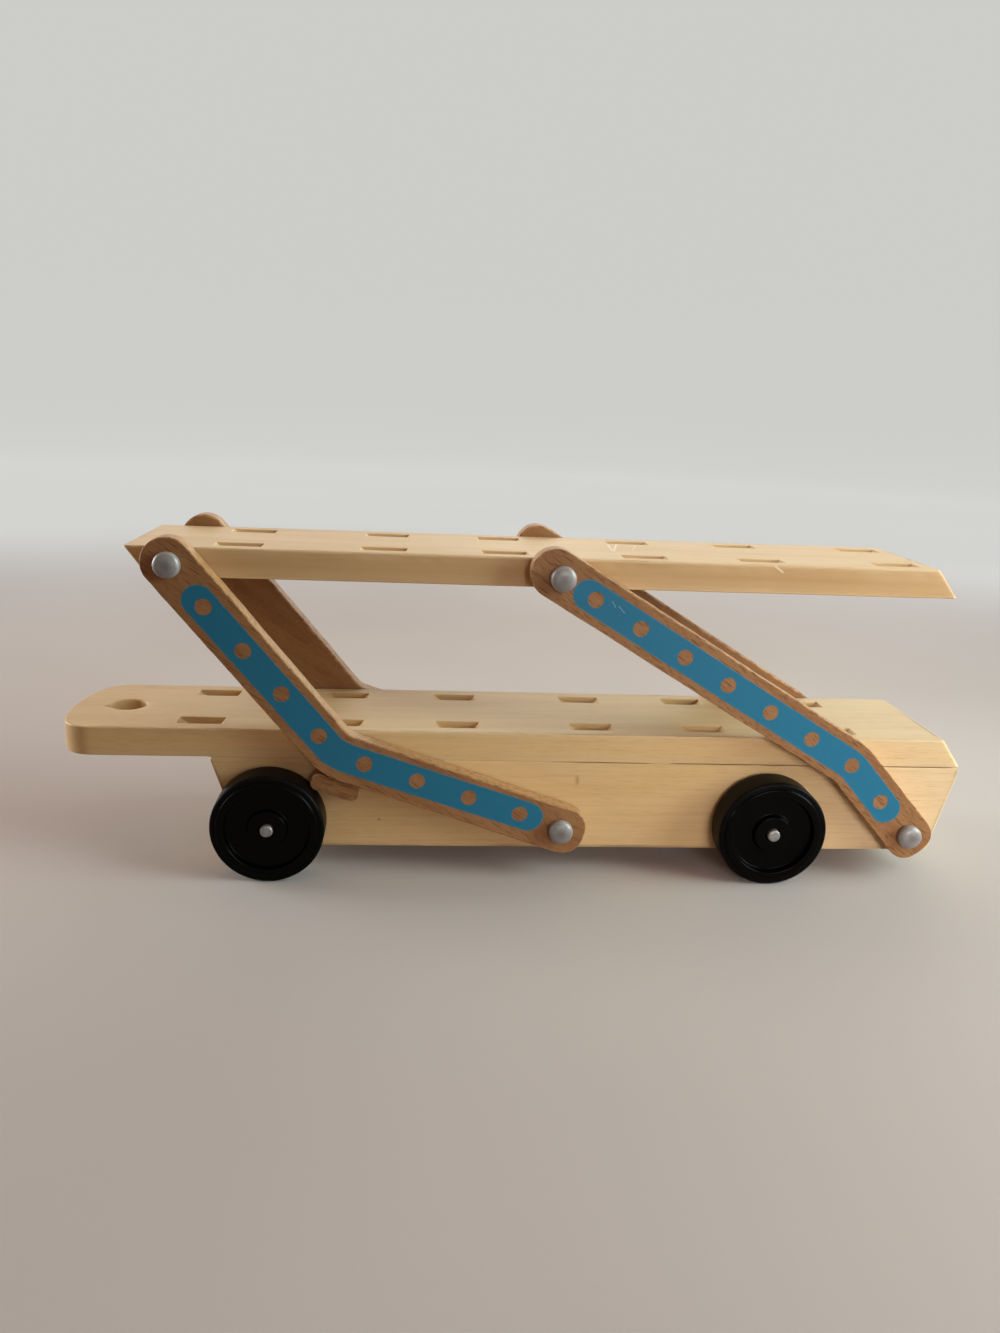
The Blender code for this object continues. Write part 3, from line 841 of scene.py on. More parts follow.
@dataclass(frozen=True)
class SatinPin:
    """Satin grey metal of the pivot pins, with a soft mottle and fine scuffs."""

    name: str = "satin_pin"
    base: Colour = (0.300, 0.296, 0.292)
    dull: Colour = (0.205, 0.202, 0.198)
    # The crown and rim colours are a painted reflection on the dome: darker at the crown, lighter round the
    # rim.
    crown: Colour = (0.110, 0.108, 0.105)
    rim: Colour = (0.440, 0.436, 0.430)
    mottle_size: Place = (0.0022, 0.0022, 0.0022)
    scuff_size: Place = (0.0022, 0.0004, 0.0003)
    scuff_tilt: float = 0.6
    relief: Flat = (0.00003, 0.4)

    def material(self) -> bpy.types.Material:
        """Build the metal from a slow mottle, fine crossing scuffs and a painted reflection on the dome: a
        darker crown and a lighter rim.

        Returns:
            The material.
        """
        sheet = NodeSheet(self.name, {"Metallic": 0.20, "Specular IOR Level": 0.5})
        mottle = sheet.noise(sheet.space(self.mottle_size), *ROUGH_NOISE)
        scuff = sheet.noise(sheet.space(self.scuff_size, tilt=self.scuff_tilt), *ROUGH_NOISE)
        out, _, _ = sheet.split(sheet.attribute("guide", "Vector"))
        # Painted reflection: the dome is darker at its crown and lighter round its rim.
        crown = out.ramp(0.62, 0.10)
        colour = sheet.layered(self.base, (mottle.ramp(0.35, 0.70) * 0.6, self.dull),
                               (crown * 0.55, self.crown), (out.ramp(0.78, 0.97) * 0.60, self.rim))
        roughness = 0.34 + 0.12 * mottle + 0.10 * (scuff - 0.5) + 0.08 * crown
        return sheet.dress(colour, roughness, 0.5 * mottle + 0.5 * scuff, *self.relief)


@dataclass(frozen=True)
class MouldedBlack:
    """Gloss black moulded plastic of a wheel, with turning lines and a little dust round its centre."""

    name: str
    centre: Flat
    base: Colour = (0.0011, 0.0011, 0.0012)
    dust: Colour = (0.008, 0.007, 0.006)
    line_pitch: float = 0.00018
    smear_size: Place = (0.006, 0.006, 0.006)
    speck_size: Place = (0.0013, 0.0013, 0.0013)
    tread: Flat = (0.0160, 0.0174)
    scuffed: Flat = (0.0157, 0.0161)
    gloss: float = 0.07
    relief: Flat = (0.00003, 0.35)

    def material(self) -> bpy.types.Material:
        """Build the plastic: rings round the axle, fine dust on the tread and faint handling marks.

        Returns:
            The material.
        """
        sheet = NodeSheet(self.name, {"Specular IOR Level": self.gloss, "IOR": LACQUER_IOR})
        x, _, z = sheet.split(sheet.spot)
        x, z = x - self.centre[0], z - self.centre[1]
        radius = (x * x + z * z) ** 0.5
        lines = sheet.chance((radius / self.line_pitch).floor())
        smear = sheet.noise(sheet.space(self.smear_size), *ROUGH_NOISE)
        specks = sheet.cells(sheet.space(self.speck_size)).ramp(0.22, 0.08)
        colour = sheet.layered(
            self.base,
            (radius.ramp(*self.tread) * smear.ramp(0.35, 0.70) * 0.55, self.dust),
            (specks * smear.ramp(0.45, 0.75) * 0.5, self.dust),
        )
        scuffed = radius.ramp(*self.scuffed)
        roughness = 0.11 + 0.08 * smear.ramp(0.35, 0.75) + 0.04 * (lines - 0.5) + 0.24 * scuffed
        return sheet.dress(colour, roughness, 0.3 * lines + 0.7 * smear, *self.relief)


@dataclass(frozen=True)
class AxleSteel:
    """Bright cold-drawn steel rod, with fine lines along its length."""

    name: str = "axle_bright"
    base: Colour = (0.320, 0.318, 0.312)
    dull: Colour = (0.200, 0.196, 0.190)
    line_size: Place = (0.00025, 0.0080, 0.00025)
    mottle_size: Place = (0.0011, 0.0011, 0.0011)
    relief: Flat = (0.00003, 0.5)

    def material(self) -> bpy.types.Material:
        """Build the steel from drawn lines along Y and a light mottle.

        Returns:
            The material.
        """
        sheet = NodeSheet(self.name, {"Metallic": 0.75})
        lines = sheet.noise(sheet.space(self.line_size), *ROUGH_NOISE)
        mottle = sheet.noise(sheet.space(self.mottle_size), *ROUGH_NOISE)
        colour = sheet.blend(mottle.ramp(0.35, 0.75), self.base, self.dull)
        roughness = 0.40 + 0.14 * mottle + 0.08 * (lines - 0.5)
        return sheet.dress(colour, roughness, 0.5 * lines + 0.5 * mottle, *self.relief)


@dataclass(frozen=True)
class StudioFloor:
    """Pale matt floor paper with a faint mottle, which the eye sees fade into an even pale backdrop."""

    name: str = "floor_paper"
    base: Colour = (0.560, 0.535, 0.520)
    shade: Colour = (0.530, 0.505, 0.490)
    backdrop: Colour = (0.600, 0.600, 0.580)
    bounce: Colour = (0.300, 0.200, 0.130)
    fade_start: float = 0.24
    fade_end: float = 0.85
    mottle_size: Place = (0.25, 0.25, 0.25)
    tooth_size: Place = (0.0012, 0.0012, 0.0012)
    relief: Flat = (0.00003, 0.4)

    def material(self) -> bpy.types.Material:
        """Build the paper from a slow mottle and a fine tooth, with the backdrop by its distance.

        The light that it throws back at the object is darker and warmer than the paper that the eye sees.

        Returns:
            The material.
        """
        sheet = NodeSheet(self.name, {"Specular IOR Level": 0.2, "Emission Strength": 1.0})
        mottle = sheet.noise(sheet.space(self.mottle_size))
        tooth = sheet.noise(sheet.space(self.tooth_size))
        x, y, _ = sheet.split(sheet.spot)
        path = sheet.node("ShaderNodeLightPath", {}, {}, "Is Camera Ray")
        glossy, clear = (Reading(sheet, path.socket.node.outputs[name])
                         for name in ("Is Glossy Ray", "Is Transmission Ray"))
        seen = (path + glossy + clear).least(1.0)
        far = ((x * x + y * y) ** 0.5).ramp(self.fade_start, self.fade_end) * seen
        paper = sheet.blend(mottle.ramp(0.3, 0.7), self.base, self.shade)
        colour = sheet.blend(far, sheet.blend(seen, self.bounce, paper), BLACK)
        sheet.feed(sheet.shader.inputs["Emission Color"], sheet.blend(far, BLACK, self.backdrop))
        return sheet.dress(colour, 0.55 + 0.1 * mottle, tooth, *self.relief)


@dataclass(frozen=True)
class WheelPocket:
    """A wheel pocket plunged by a round cutter: its floor is an arc along X between upright sides."""

    length: float = 0.0143
    width: float = 0.0064
    depth: float = 0.0038
    stations: int = 27
    across: tuple[float, ...] = (-1.06, -1.0, -1.0, -1.0, -0.96, -0.85, 0.0, 0.85, 0.96, 1.0, 1.0, 1.0, 1.06)
    share: tuple[float, ...] = (0.0, 0.05, 0.40, 0.86, 0.98, 1.0, 1.0, 1.0, 0.98, 0.86, 0.40, 0.05, 0.0)
    lip: float = 0.12
    cut_fade: float = 0.0004
    side_limit: float = 0.9
    floor_tone: float = 0.10

    def patch(self, centre: Flat, top: float) -> tuple[Array, Array]:
        """Work out a pocket's grid.

        The cutter's radius is ((length / 2)² + depth²) / (2 depth). The floor lies under the top by
        √(radius² - x²) - (radius - depth), and the sides reach it in shares. A flat lip all round
        keeps the rim's shading to itself.

        Args:
            centre: The pocket's middle.
            top: The height of the board's top.

        Returns:
            The grid's points and guides.
        """
        half = self.length / 2
        radius = (half**2 + self.depth**2) / (2 * self.depth)
        lip = self.lip * self.width / 2
        along = half * np.sin(np.linspace(-pi / 2, pi / 2, self.stations))
        along = np.concatenate([[-half - lip], along, [half + lip]])
        floor = np.sqrt(radius**2 - along**2) - (radius - self.depth)
        shares = np.array([0.0, *self.share, 0.0])
        deep = np.maximum(floor, 0.0)[:, None] * shares
        aside = np.broadcast_to(self.width / 2 * np.array(self.columns()), deep.shape)
        run = np.broadcast_to(along[:, None], deep.shape)
        points = np.stack([centre[0] + run, centre[1] + aside, top - deep], axis=-1)
        steep = np.broadcast_to(np.minimum(np.abs(along) / half, 1.0)[:, None], deep.shape)
        # The guide's second number darkens the pocket's upright sides from just under the rim, and the floor
        # a tenth as much: partly the cut fibres' own tone, partly painted shade inside the pocket.
        cut = np.minimum(deep / self.cut_fade, 1.0)
        upright = np.where(shares < self.side_limit, 1.0, self.floor_tone)
        return points, np.stack([self.floor_tone * cut * steep, cut * upright, 0 * deep], axis=-1)

    def columns(self) -> tuple[float, ...]:
        """The columns' places in half widths, with the lip on both sides."""
        return (self.across[0] - self.lip, *self.across, self.across[-1] + self.lip)

    def distinct_columns(self) -> Array:
        """The columns that lie apart where the floor runs out at the pocket's ends."""
        return np.unique(self.columns(), return_index=True)[1]


def grid_rim(points: Array) -> Array:
    """The points round the border of a grid, in order."""
    return np.concatenate([points[:-1, 0], points[-1, :-1], points[:0:-1, -1], points[0, :0:-1]])


@dataclass(frozen=True)
class HitchHole:
    """The round hole through the tongue, with a pointed tear in its front rim."""

    radius: float = 0.0055
    setback: float = 0.0169
    ease: float = 0.0005
    lip: float = 0.0034
    tear: float = 0.0024
    tear_heading: float = pi + 0.32
    tear_angle: float = 0.17
    tear_depth: float = 0.0026
    tear_power: float = 1.3
    wall_margin: float = 0.0012
    wall_rows: int = 4
    segments: int = 96

    def patch(self, centre: Flat, top: float, bottom: float) -> tuple[Array, Array]:
        """Work out the hole's wall from a lip on the top to a lip on the underside.

        The rims are quarter rounds. The tear adds tear exp(-(a / width)^power) to the radius at an angle
        of a from its tip, and fades with the square of the depth.

        Args:
            centre: The hole's axis.
            top: The height of the board's top.
            bottom: The height of its underside.

        Returns:
            The grid's points and each row's share of rounding.
        """
        thickness = top - bottom
        turn = np.linspace(0.0, pi / 2, ROUND_STEPS + 1)
        round_in = self.ease * (1 - np.sin(turn))
        round_down = self.ease * (1 - np.cos(turn))
        walls = np.linspace(self.wall_margin, thickness - self.wall_margin, self.wall_rows)
        depth = np.concatenate([[0.0], round_down, walls, thickness - round_down[::-1], [thickness]])
        flare = np.concatenate([[self.lip], round_in, 0 * walls, round_in[::-1], [self.lip]])
        angle = np.linspace(0.0, 2 * pi, self.segments, endpoint=False)
        off_tip = np.abs(angle - self.tear_heading)
        torn = self.tear * np.exp(-((off_tip / self.tear_angle) ** self.tear_power))
        fade = np.clip(1 - depth / self.tear_depth, 0.0, 1.0) ** 2
        fade[0] = 0.0
        reach = self.radius + flare[:, None] + fade[:, None] * torn
        points = np.stack([centre[0] + reach * np.cos(angle), centre[1] + reach * np.sin(angle),
                           np.broadcast_to(top - depth[:, None], reach.shape)], axis=-1)
        return points, np.where((flare > 0) & (flare < self.lip), 0.5, 0.0)[:, None]


@dataclass(frozen=True)
class DeckBoard:
    """One of the two deck boards with its raked ends and two rows of wheel pockets."""

    node: str
    body: str
    first_pocket: float
    front_undercut: float
    rear_bevel: float
    front_radius: float
    bottom_ease: float
    seed: int
    hitch: HitchHole | None = None
    pocket: WheelPocket = WheelPocket()
    row_spacing: float = 0.0296
    wheelbase: float = 0.0437
    car_pitch: float = 0.0808
    cars: int = 3
    corner_radius: float = 0.0016
    nose_radius: float = 0.0
    nose_aside: float = 0.0
    ease: float = 0.00050
    rear_wear: float = 0.6
    unevenness: float = 0.25
    foot_period: float = 0.013
    spacing: float = 0.0014
    corner_steps: int = 10

    def build(self) -> Surface:
        """Build the board as an eased plate whose ends slope, with its pockets and hole let in.

        A point at a depth d under the top moves along X by d / thickness times the end's slope, shared
        between the two ends by how far along the board it lies.

        Returns:
            The board's surface.
        """
        low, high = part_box(self.node)
        rear = high.x - self.rear_bevel
        fronts, nose = self.front_corners(low.x, high.y)
        corners = [(fronts[0], low.y), (rear, low.y), (rear, high.y), (fronts[1], high.y), *nose]
        radii = [self.front_radius, self.corner_radius, self.corner_radius, self.front_radius]
        radii += [self.nose_radius] * len(nose)
        outline, outward = filleted_loop(corners, radii, self.spacing, self.corner_steps)
        rim = worn_rim(outline, outward, self.ease, self.unevenness, self.rear_wear, self.seed)
        foot_wear = loop_noise(outline, self.foot_period, self.seed + 1)
        foot = self.bottom_ease * (1 + self.unevenness * foot_wear)
        thickness = high.z - low.z
        inset, depth, ease = eased_section(thickness, rim, foot)
        plan = outline - inset[..., None] * outward
        share = np.clip((plan[..., 0] - low.x) / (rear - low.x), 0.0, 1.0)
        slope = (1 - share) * self.front_undercut + share * self.rear_bevel
        points = np.stack([plan[..., 0] + slope * depth / thickness, plan[..., 1], high.z - depth], axis=-1)
        wall = wall_share(depth, thickness)
        guide = np.zeros_like(points)
        guide[..., 0] = wall * np.abs(outward[:, 0])
        # The guide's third number marks the long sides for the wood's painted shade.
        guide[..., 2] = wall * np.abs(outward[:, 1])
        surface = Surface()
        surface.add_grid(points, wrap_columns=True, ease=ease, guide=guide)
        top_loops, bottom_loops = [points[0]], [points[-1]]
        for spot in self.pocket_places():
            patch, cut = self.pocket.patch(spot, high.z)
            surface.add_grid(patch, guide=cut)
            top_loops.append(grid_rim(patch[:, self.pocket.distinct_columns()]))
        if self.hitch is not None:
            ring, rounding = self.hitch.patch((low.x + self.hitch.setback, 0.0), high.z, low.z)
            surface.add_grid(ring, wrap_columns=True, ease=rounding)
            top_loops.append(ring[0])
            bottom_loops.append(ring[-1])
        for loops in (top_loops, bottom_loops):
            surface.add(np.concatenate(loops), flat_fill([loop[:, :2] for loop in loops]))
        return surface

    def front_corners(self, tip: float, half: float) -> tuple[Flat, list[Flat]]:
        """Work out where the front's corners lie before they are rounded.

        A bow of radius R meets a corner of radius r on one tangent, which leans by
        asin((half - r ± aside) / (R - r)). The two tangents meet ahead of the bow's centre at
        R / cos of their mean lean. The true corners are a little smaller, so a short run divides them.

        Args:
            tip: The foremost X.
            half: Half of the board's width.

        Returns:
            The X of the left and the right corner, and the bow's own corner if there is a bow.
        """
        if self.nose_radius == 0:
            return (tip, tip), []
        nose, aside, corner = self.nose_radius, self.nose_aside, self.front_radius + BOW_MARGIN
        leans = [asin((half - corner + sign * aside) / (nose - corner)) for sign in (1, -1)]
        hub, mean, skew = tip + nose, sum(leans) / 2, (leans[0] - leans[1]) / 2
        left, right = (hub - (nose - (half + sign * aside) * sin(lean)) / cos(lean)
                       for sign, lean in zip((1, -1), leans))
        reach = nose / cos(mean)
        return (left, right), [(hub - reach * cos(skew), aside - reach * sin(skew))]

    def pocket_places(self) -> list[Flat]:
        """The middles of the pockets: two axles for each car in each row.

        Returns:
            One place for each pocket.
        """
        return [(self.first_pocket + self.car_pitch * car + self.wheelbase * axle,
                 self.row_spacing / 2 * row)
                for car in range(self.cars) for axle in (0, 1) for row in (-1, 1)]

    def dress(self, wood: BoardWood) -> bpy.types.Object:
        """Build the board and finish it in its wood."""
        return self.build().piece(f"{self.node}_wood", wood.material(), self.body, Slot.BOARD, [self.node])


@dataclass(frozen=True)
class ChassisBlock:
    """The thick block under the plank, with its axle and pin bores and the glue line on top."""

    node: str = "chassis_block"
    body: str = "chassis"
    front_rake: float = 0.0093
    rear_undercut: float = 0.0069
    corner_radius: float = 0.0010
    rear_radius: float = 0.0014
    ease: float = 0.00045
    rear_wear: float = 0.6
    unevenness: float = 0.2
    seam_ease: float = 0.00012
    seam_share: float = 0.6
    spacing: float = 0.0014
    seed: int = 31
    axle_clearance: float = 0.0003
    pin_depth: float = 0.0143
    bore_segments: int = 32
    glue_flush: float = 0.0005
    glue_inset: float = 0.00006
    glue_opens: float = 0.0040
    glue_opening: float = 0.022
    glue_recess: float = 0.0011
    glue_blob: float = 0.1425
    glue_blob_width: float = 0.0009
    glue_run: float = 0.0440
    glue_run_width: float = 0.0042
    glue_stations: int = 240

    def bores(self) -> list[tuple[Flat, float, bool]]:
        """Work out the bores in the block's sides.

        Returns:
            The middle and radius of each bore, and whether it goes right through.
        """
        holes = []
        for axle in ("front_axle", "rear_axle"):
            centre, radius, _, _ = cross_axis(axle)
            holes.append((centre, radius + self.axle_clearance, True))
        for joint in ("deck_swing", "rear_arm_swing"):
            x, _, z = pivot(joint)
            holes.append(((x, z), PinSet.shank_diameter / 2 + self.axle_clearance, False))
        return holes

    def build(self) -> Surface:
        """Build the block as an eased plate: its X-Z outline is carried across from left to right.

        Returns:
            The block's surface.
        """
        low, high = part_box(self.node)
        corners = [(low.x + self.front_rake, low.z), (high.x - self.rear_undercut, low.z),
                   (high.x, high.z), (low.x, high.z)]
        radii = [self.corner_radius, self.rear_radius, self.rear_radius, self.corner_radius]
        outline, outward = filleted_loop(corners, radii, self.spacing)
        on_top = outline[:, 1] > high.z - self.seam_share * self.corner_radius
        rims = [np.where(on_top, self.seam_ease,
                         worn_rim(outline, outward, self.ease, self.unevenness, self.rear_wear, seed))
                for seed in (self.seed, self.seed + 1)]
        width = high.y - low.y
        inset, depth, ease = eased_section(width, *rims)
        plan = outline - inset[..., None] * outward
        points = np.stack([plan[..., 0], low.y + depth, plan[..., 1]], axis=-1)
        guide = np.zeros_like(points)
        guide[..., 0] = wall_share(depth, width) * np.abs(outward[:, 0])
        surface = Surface()
        surface.add_grid(points, wrap_columns=True, ease=ease, guide=guide)
        faces = {Side.LEFT: [points[0]], Side.RIGHT: [points[-1]]}
        for centre, radius, through in self.bores():
            ring = circle(centre, radius, self.bore_segments)
            mouths = {side: self.ring_at(ring, side.value * width / 2) for side in Side}
            floors = {side: self.ring_at(ring, side.value * (width / 2 - self.pin_depth)) for side in Side}
            if through:
                surface.add_grid(np.stack([mouths[Side.LEFT], mouths[Side.RIGHT]]), wrap_columns=True)
            for side in Side:
                faces[side].append(mouths[side])
                if not through:
                    pole = np.broadcast_to(floors[side].mean(axis=0), floors[side].shape)
                    surface.add_grid(np.stack([mouths[side], floors[side], pole]), wrap_columns=True)
        for loops in faces.values():
            surface.add(np.concatenate(loops), flat_fill([loop[:, ::2] for loop in loops]))
        return surface

    @staticmethod
    def ring_at(ring: Array, y: float) -> Array:
        """A flat X-Z ring set at a place across the trailer."""
        return np.insert(ring, 1, y, axis=1)

    def glue(self) -> Surface:
        """Build the thin glue film that fills the seam under the plank.

        Its section is a flat rectangle carried along X. It is flush with the sides in front, draws back
        by a smooth step where the seam opens, and comes out again in one short run and a small bead.

        Returns:
            The film's surface.
        """
        low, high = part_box(self.node)
        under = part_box("deck_plank")[0].z
        x = np.linspace(low.x + self.glue_flush, high.x - self.glue_flush, self.glue_stations)
        step = np.clip((x - self.glue_opens) / self.glue_opening, 0.0, 1.0)
        bead = np.exp(-(((x - self.glue_blob) / self.glue_blob_width) ** 2))
        bead = np.maximum(bead, np.exp(-(((x - self.glue_run) / self.glue_run_width) ** 4)))
        recess = self.glue_recess * step**2 * (3 - 2 * step) * (1 - bead)
        half = high.y - self.glue_inset - recess
        section = [(-half, high.z), (half, high.z), (half, under), (-half, under)]
        points = np.stack([np.stack([x, y, np.full_like(x, z)], axis=-1) for y, z in section], axis=1)
        surface = Surface()
        surface.add_grid(points, wrap_columns=True)
        for end in (points[0], points[-1]):
            surface.add(end, np.array([[0, 1, 2, 3]]))
        return surface

    def dress(self, wood: BoardWood) -> list[bpy.types.Object]:
        """Build the block and its glue line, and finish both in the block's wood.

        Args:
            wood: The block's finish.

        Returns:
            The two pieces.
        """
        finish = wood.material()
        return [self.build().piece(f"{self.node}_wood", finish, self.body, Slot.BOARD, [self.node]),
                self.glue().piece("glue_line", finish, self.body, Slot.BOARD, [])]


@dataclass(frozen=True)
class ArmLine:
    """Centre line of a bent arm: two straight legs joined by an arc, from the lower pivot upwards."""

    low: Flat
    high: Flat
    bend: Flat
    bend_radius: float = 0.0140

    def legs(self) -> tuple[float, float, float, float, float]:
        """Work out the line's parts.

        Returns:
            The lower leg's heading, the turn to the upper leg, and the lengths of the lower leg, the
            arc and the upper leg.
        """
        span = (self.high[0] - self.low[0], self.high[1] - self.low[1])
        length = hypot(*span)
        ahead = (span[0] / length, span[1] / length)
        corner = (self.bend[0] * ahead[0] - self.bend[1] * ahead[1],
                  self.bend[0] * ahead[1] + self.bend[1] * ahead[0])
        rest = (span[0] - corner[0], span[1] - corner[1])
        heading = atan2(corner[1], corner[0])
        turn = remainder(atan2(rest[1], rest[0]) - heading, 2 * pi)
        cut = self.bend_radius * tan(abs(turn) / 2)
        return heading, turn, hypot(*corner) - cut, self.bend_radius * abs(turn), hypot(*rest) - cut

    def length(self) -> float:
        """The distance between the pivots along the line."""
        return sum(self.legs()[2:])

    def trace(self, run: Array) -> tuple[Array, Array]:
        """Follow the line.

        The heading h turns at 1 / r on the arc, which adds r (sin h - sin h0, cos h0 - cos h) to the
        two straight parts.

        Args:
            run: Distances from the lower pivot.

        Returns:
            The points and the headings there.
        """
        heading, turn, lower, arc, _ = self.legs()
        turned = heading + turn * np.clip((run - lower) / arc, 0.0, 1.0)
        radius = np.sign(turn) * self.bend_radius
        first, last = np.minimum(run, lower), np.maximum(run - lower - arc, 0.0)
        x = first * cos(heading) + radius * (np.sin(turned) - sin(heading)) + last * cos(heading + turn)
        z = first * sin(heading) + radius * (cos(heading) - np.cos(turned)) + last * sin(heading + turn)
        return np.array(self.low) + np.stack([x, z], axis=-1), turned


@dataclass(frozen=True)
class ArmPair:
    """A left and a right arm of one shape, each with eyes for its pins.

    Waves and wear are pairs of a strength and the distance between the knots of its noise.
    """

    name: str
    line: ArmLine
    seed: int
    width: float = 0.0150
    overhangs: Flat = (0.0080, 0.0080)
    eye: float = 0.00245
    outer_ease: float = 0.00034
    inner_ease: float = 0.00055
    waves: tuple[Flat, Flat] = ((0.00010, 0.016), (0.00004, 0.004))
    outer_wear: tuple[Flat, Flat] = ((0.32, 0.0035), (0.28, 0.0012))
    inner_wear: Flat = (0.25, 0.006)
    low_fullness: float = 2.45
    high_fullness: float = 2.06
    eye_stations: int = 8
    stations: int = 300
    cap_steps: int = 40

    def loop(self) -> tuple[Array, Array, Array, Array, Array, Array]:
        """Lay out one closed turn round the arm: up its right side, over the top and down the left.

        Every column starts from a base point on the centre line and runs out along a ray. The eye's
        border lies at √(eye² - s²) on the sides, s from the pivot, and where the ray leaves the eye
        on the ends. The ends' rays are lengthened by (|cos|^p + |sin|^p)^(-1 / p), a fuller round.

        Returns:
            Base points, rays, distances up the line, rays in the line's own coordinates, the eye's
            border and the ray's full length.
        """
        half, length = self.width / 2, self.line.length()
        reaches = [overhang - half for overhang in self.overhangs]
        near, far = (self.eye * np.sin(np.linspace(asin(-reach / self.eye), pi / 2, self.eye_stations))
                     for reach in reaches)
        middle = np.linspace(self.eye, length - self.eye, self.stations)[1:-1]
        run = np.concatenate([near, middle, length - far[::-1]])
        gap = np.minimum(np.abs(run), np.abs(length - run))
        border = np.sqrt(np.maximum(self.eye**2 - gap**2, 0.0))
        sweep = np.linspace(-pi / 2, pi / 2, self.cap_steps + 2)[1:-1]
        low_border, high_border = (
            np.sqrt(self.eye**2 - (reach * np.sin(sweep)) ** 2) - reach * np.cos(sweep)
            for reach in reaches)
        angle = np.concatenate([np.full_like(run, -pi / 2), sweep, np.full_like(run, pi / 2), sweep + pi])
        runs = np.concatenate([run, np.full_like(sweep, length + reaches[1]), run[::-1],
                               np.full_like(sweep, -reaches[0])])
        eye = np.concatenate([border, high_border, border[::-1], low_border])
        power = np.where(runs > length / 2, self.high_fullness, self.low_fullness)
        full = half * (np.abs(np.cos(angle)) ** power + np.abs(np.sin(angle)) ** power) ** (-1 / power)
        base, heading = self.line.trace(runs)
        ray = np.stack([np.cos(heading + angle), np.sin(heading + angle)], axis=-1)
        return base, ray, runs, np.stack([np.cos(angle), np.sin(angle)], axis=-1), eye, full

    def build(self, side: Side) -> Surface:
        """Build one arm: a grid that wraps the arm from its outer face to its inner one.

        Args:
            side: The trailer's side that the arm is on.

        Returns:
            The arm's surface.
        """
        low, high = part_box(f"{self.name}_{side.word}")
        thickness = high.y - low.y
        face = max(abs(low.y), abs(high.y))
        base, ray, runs, own_ray, eye, full = self.loop()
        border = base + full[:, None] * ray
        seed = self.seed + 10 * side.value
        (long_wave, long_period), (short_wave, short_period) = self.waves
        full = full + long_wave * loop_noise(border, long_period, seed)
        full = full + short_wave * loop_noise(border, short_period, seed + 1)
        (broad, broad_period), (fine, fine_period) = self.outer_wear
        outer = self.outer_ease * (1 + broad * loop_noise(border, broad_period, seed + 2)
                                   + fine * loop_noise(border, fine_period, seed + 4))
        share, period = self.inner_wear
        inner = self.inner_ease * (1 + share * loop_noise(border, period, seed + 3))
        inset, depth, ease = eased_section(thickness, outer, inner)
        edge = full - inset
        front = [eye + share * (edge[0] - eye) for share in (0.0, 0.5)]
        back = [eye + share * (edge[-1] - eye) for share in (0.5, 0.0)]
        reach = np.stack([*front, *edge, *back])
        flat = np.zeros((2, depth.shape[1]))
        depth = np.concatenate([flat, depth, flat + thickness])
        ease = np.concatenate([np.zeros((2, 1)), ease, np.zeros((2, 1))])
        plan = base + reach[..., None] * ray
        points = np.stack([plan[..., 0], side.value * (face - depth), plan[..., 1]], axis=-1)
        own = reach[..., None] * own_ray
        guide = np.stack([runs + own[..., 0], own[..., 1], depth], axis=-1)
        surface = Surface()
        surface.add_grid(points, wrap_columns=True, ease=ease, guide=guide)
        count, caps = self.stations - 2 + 2 * self.eye_stations, self.cap_steps
        columns = np.arange(2 * (count + caps))
        low_eye = np.roll(columns, caps + self.eye_stations)[: caps + 2 * self.eye_stations]
        high_eye = columns[count - self.eye_stations: count + caps + self.eye_stations]
        for eye_columns in (low_eye, high_eye):
            surface.add_grid(points[[0, -1]][:, eye_columns], guide=guide[[0, -1]][:, eye_columns])
        return surface

    def dress(self, finish: ArmBeech) -> list[bpy.types.Object]:
        """Build both arms and finish them in painted beech.

        Args:
            finish: The arms' beech.

        Returns:
            The two pieces.
        """
        material = finish.material()
        return [self.build(side).piece(f"{self.name}_{side.word}_beech", material, self.name + "s",
                                       Slot.BEECH, [f"{self.name}_{side.word}"]) for side in Side]


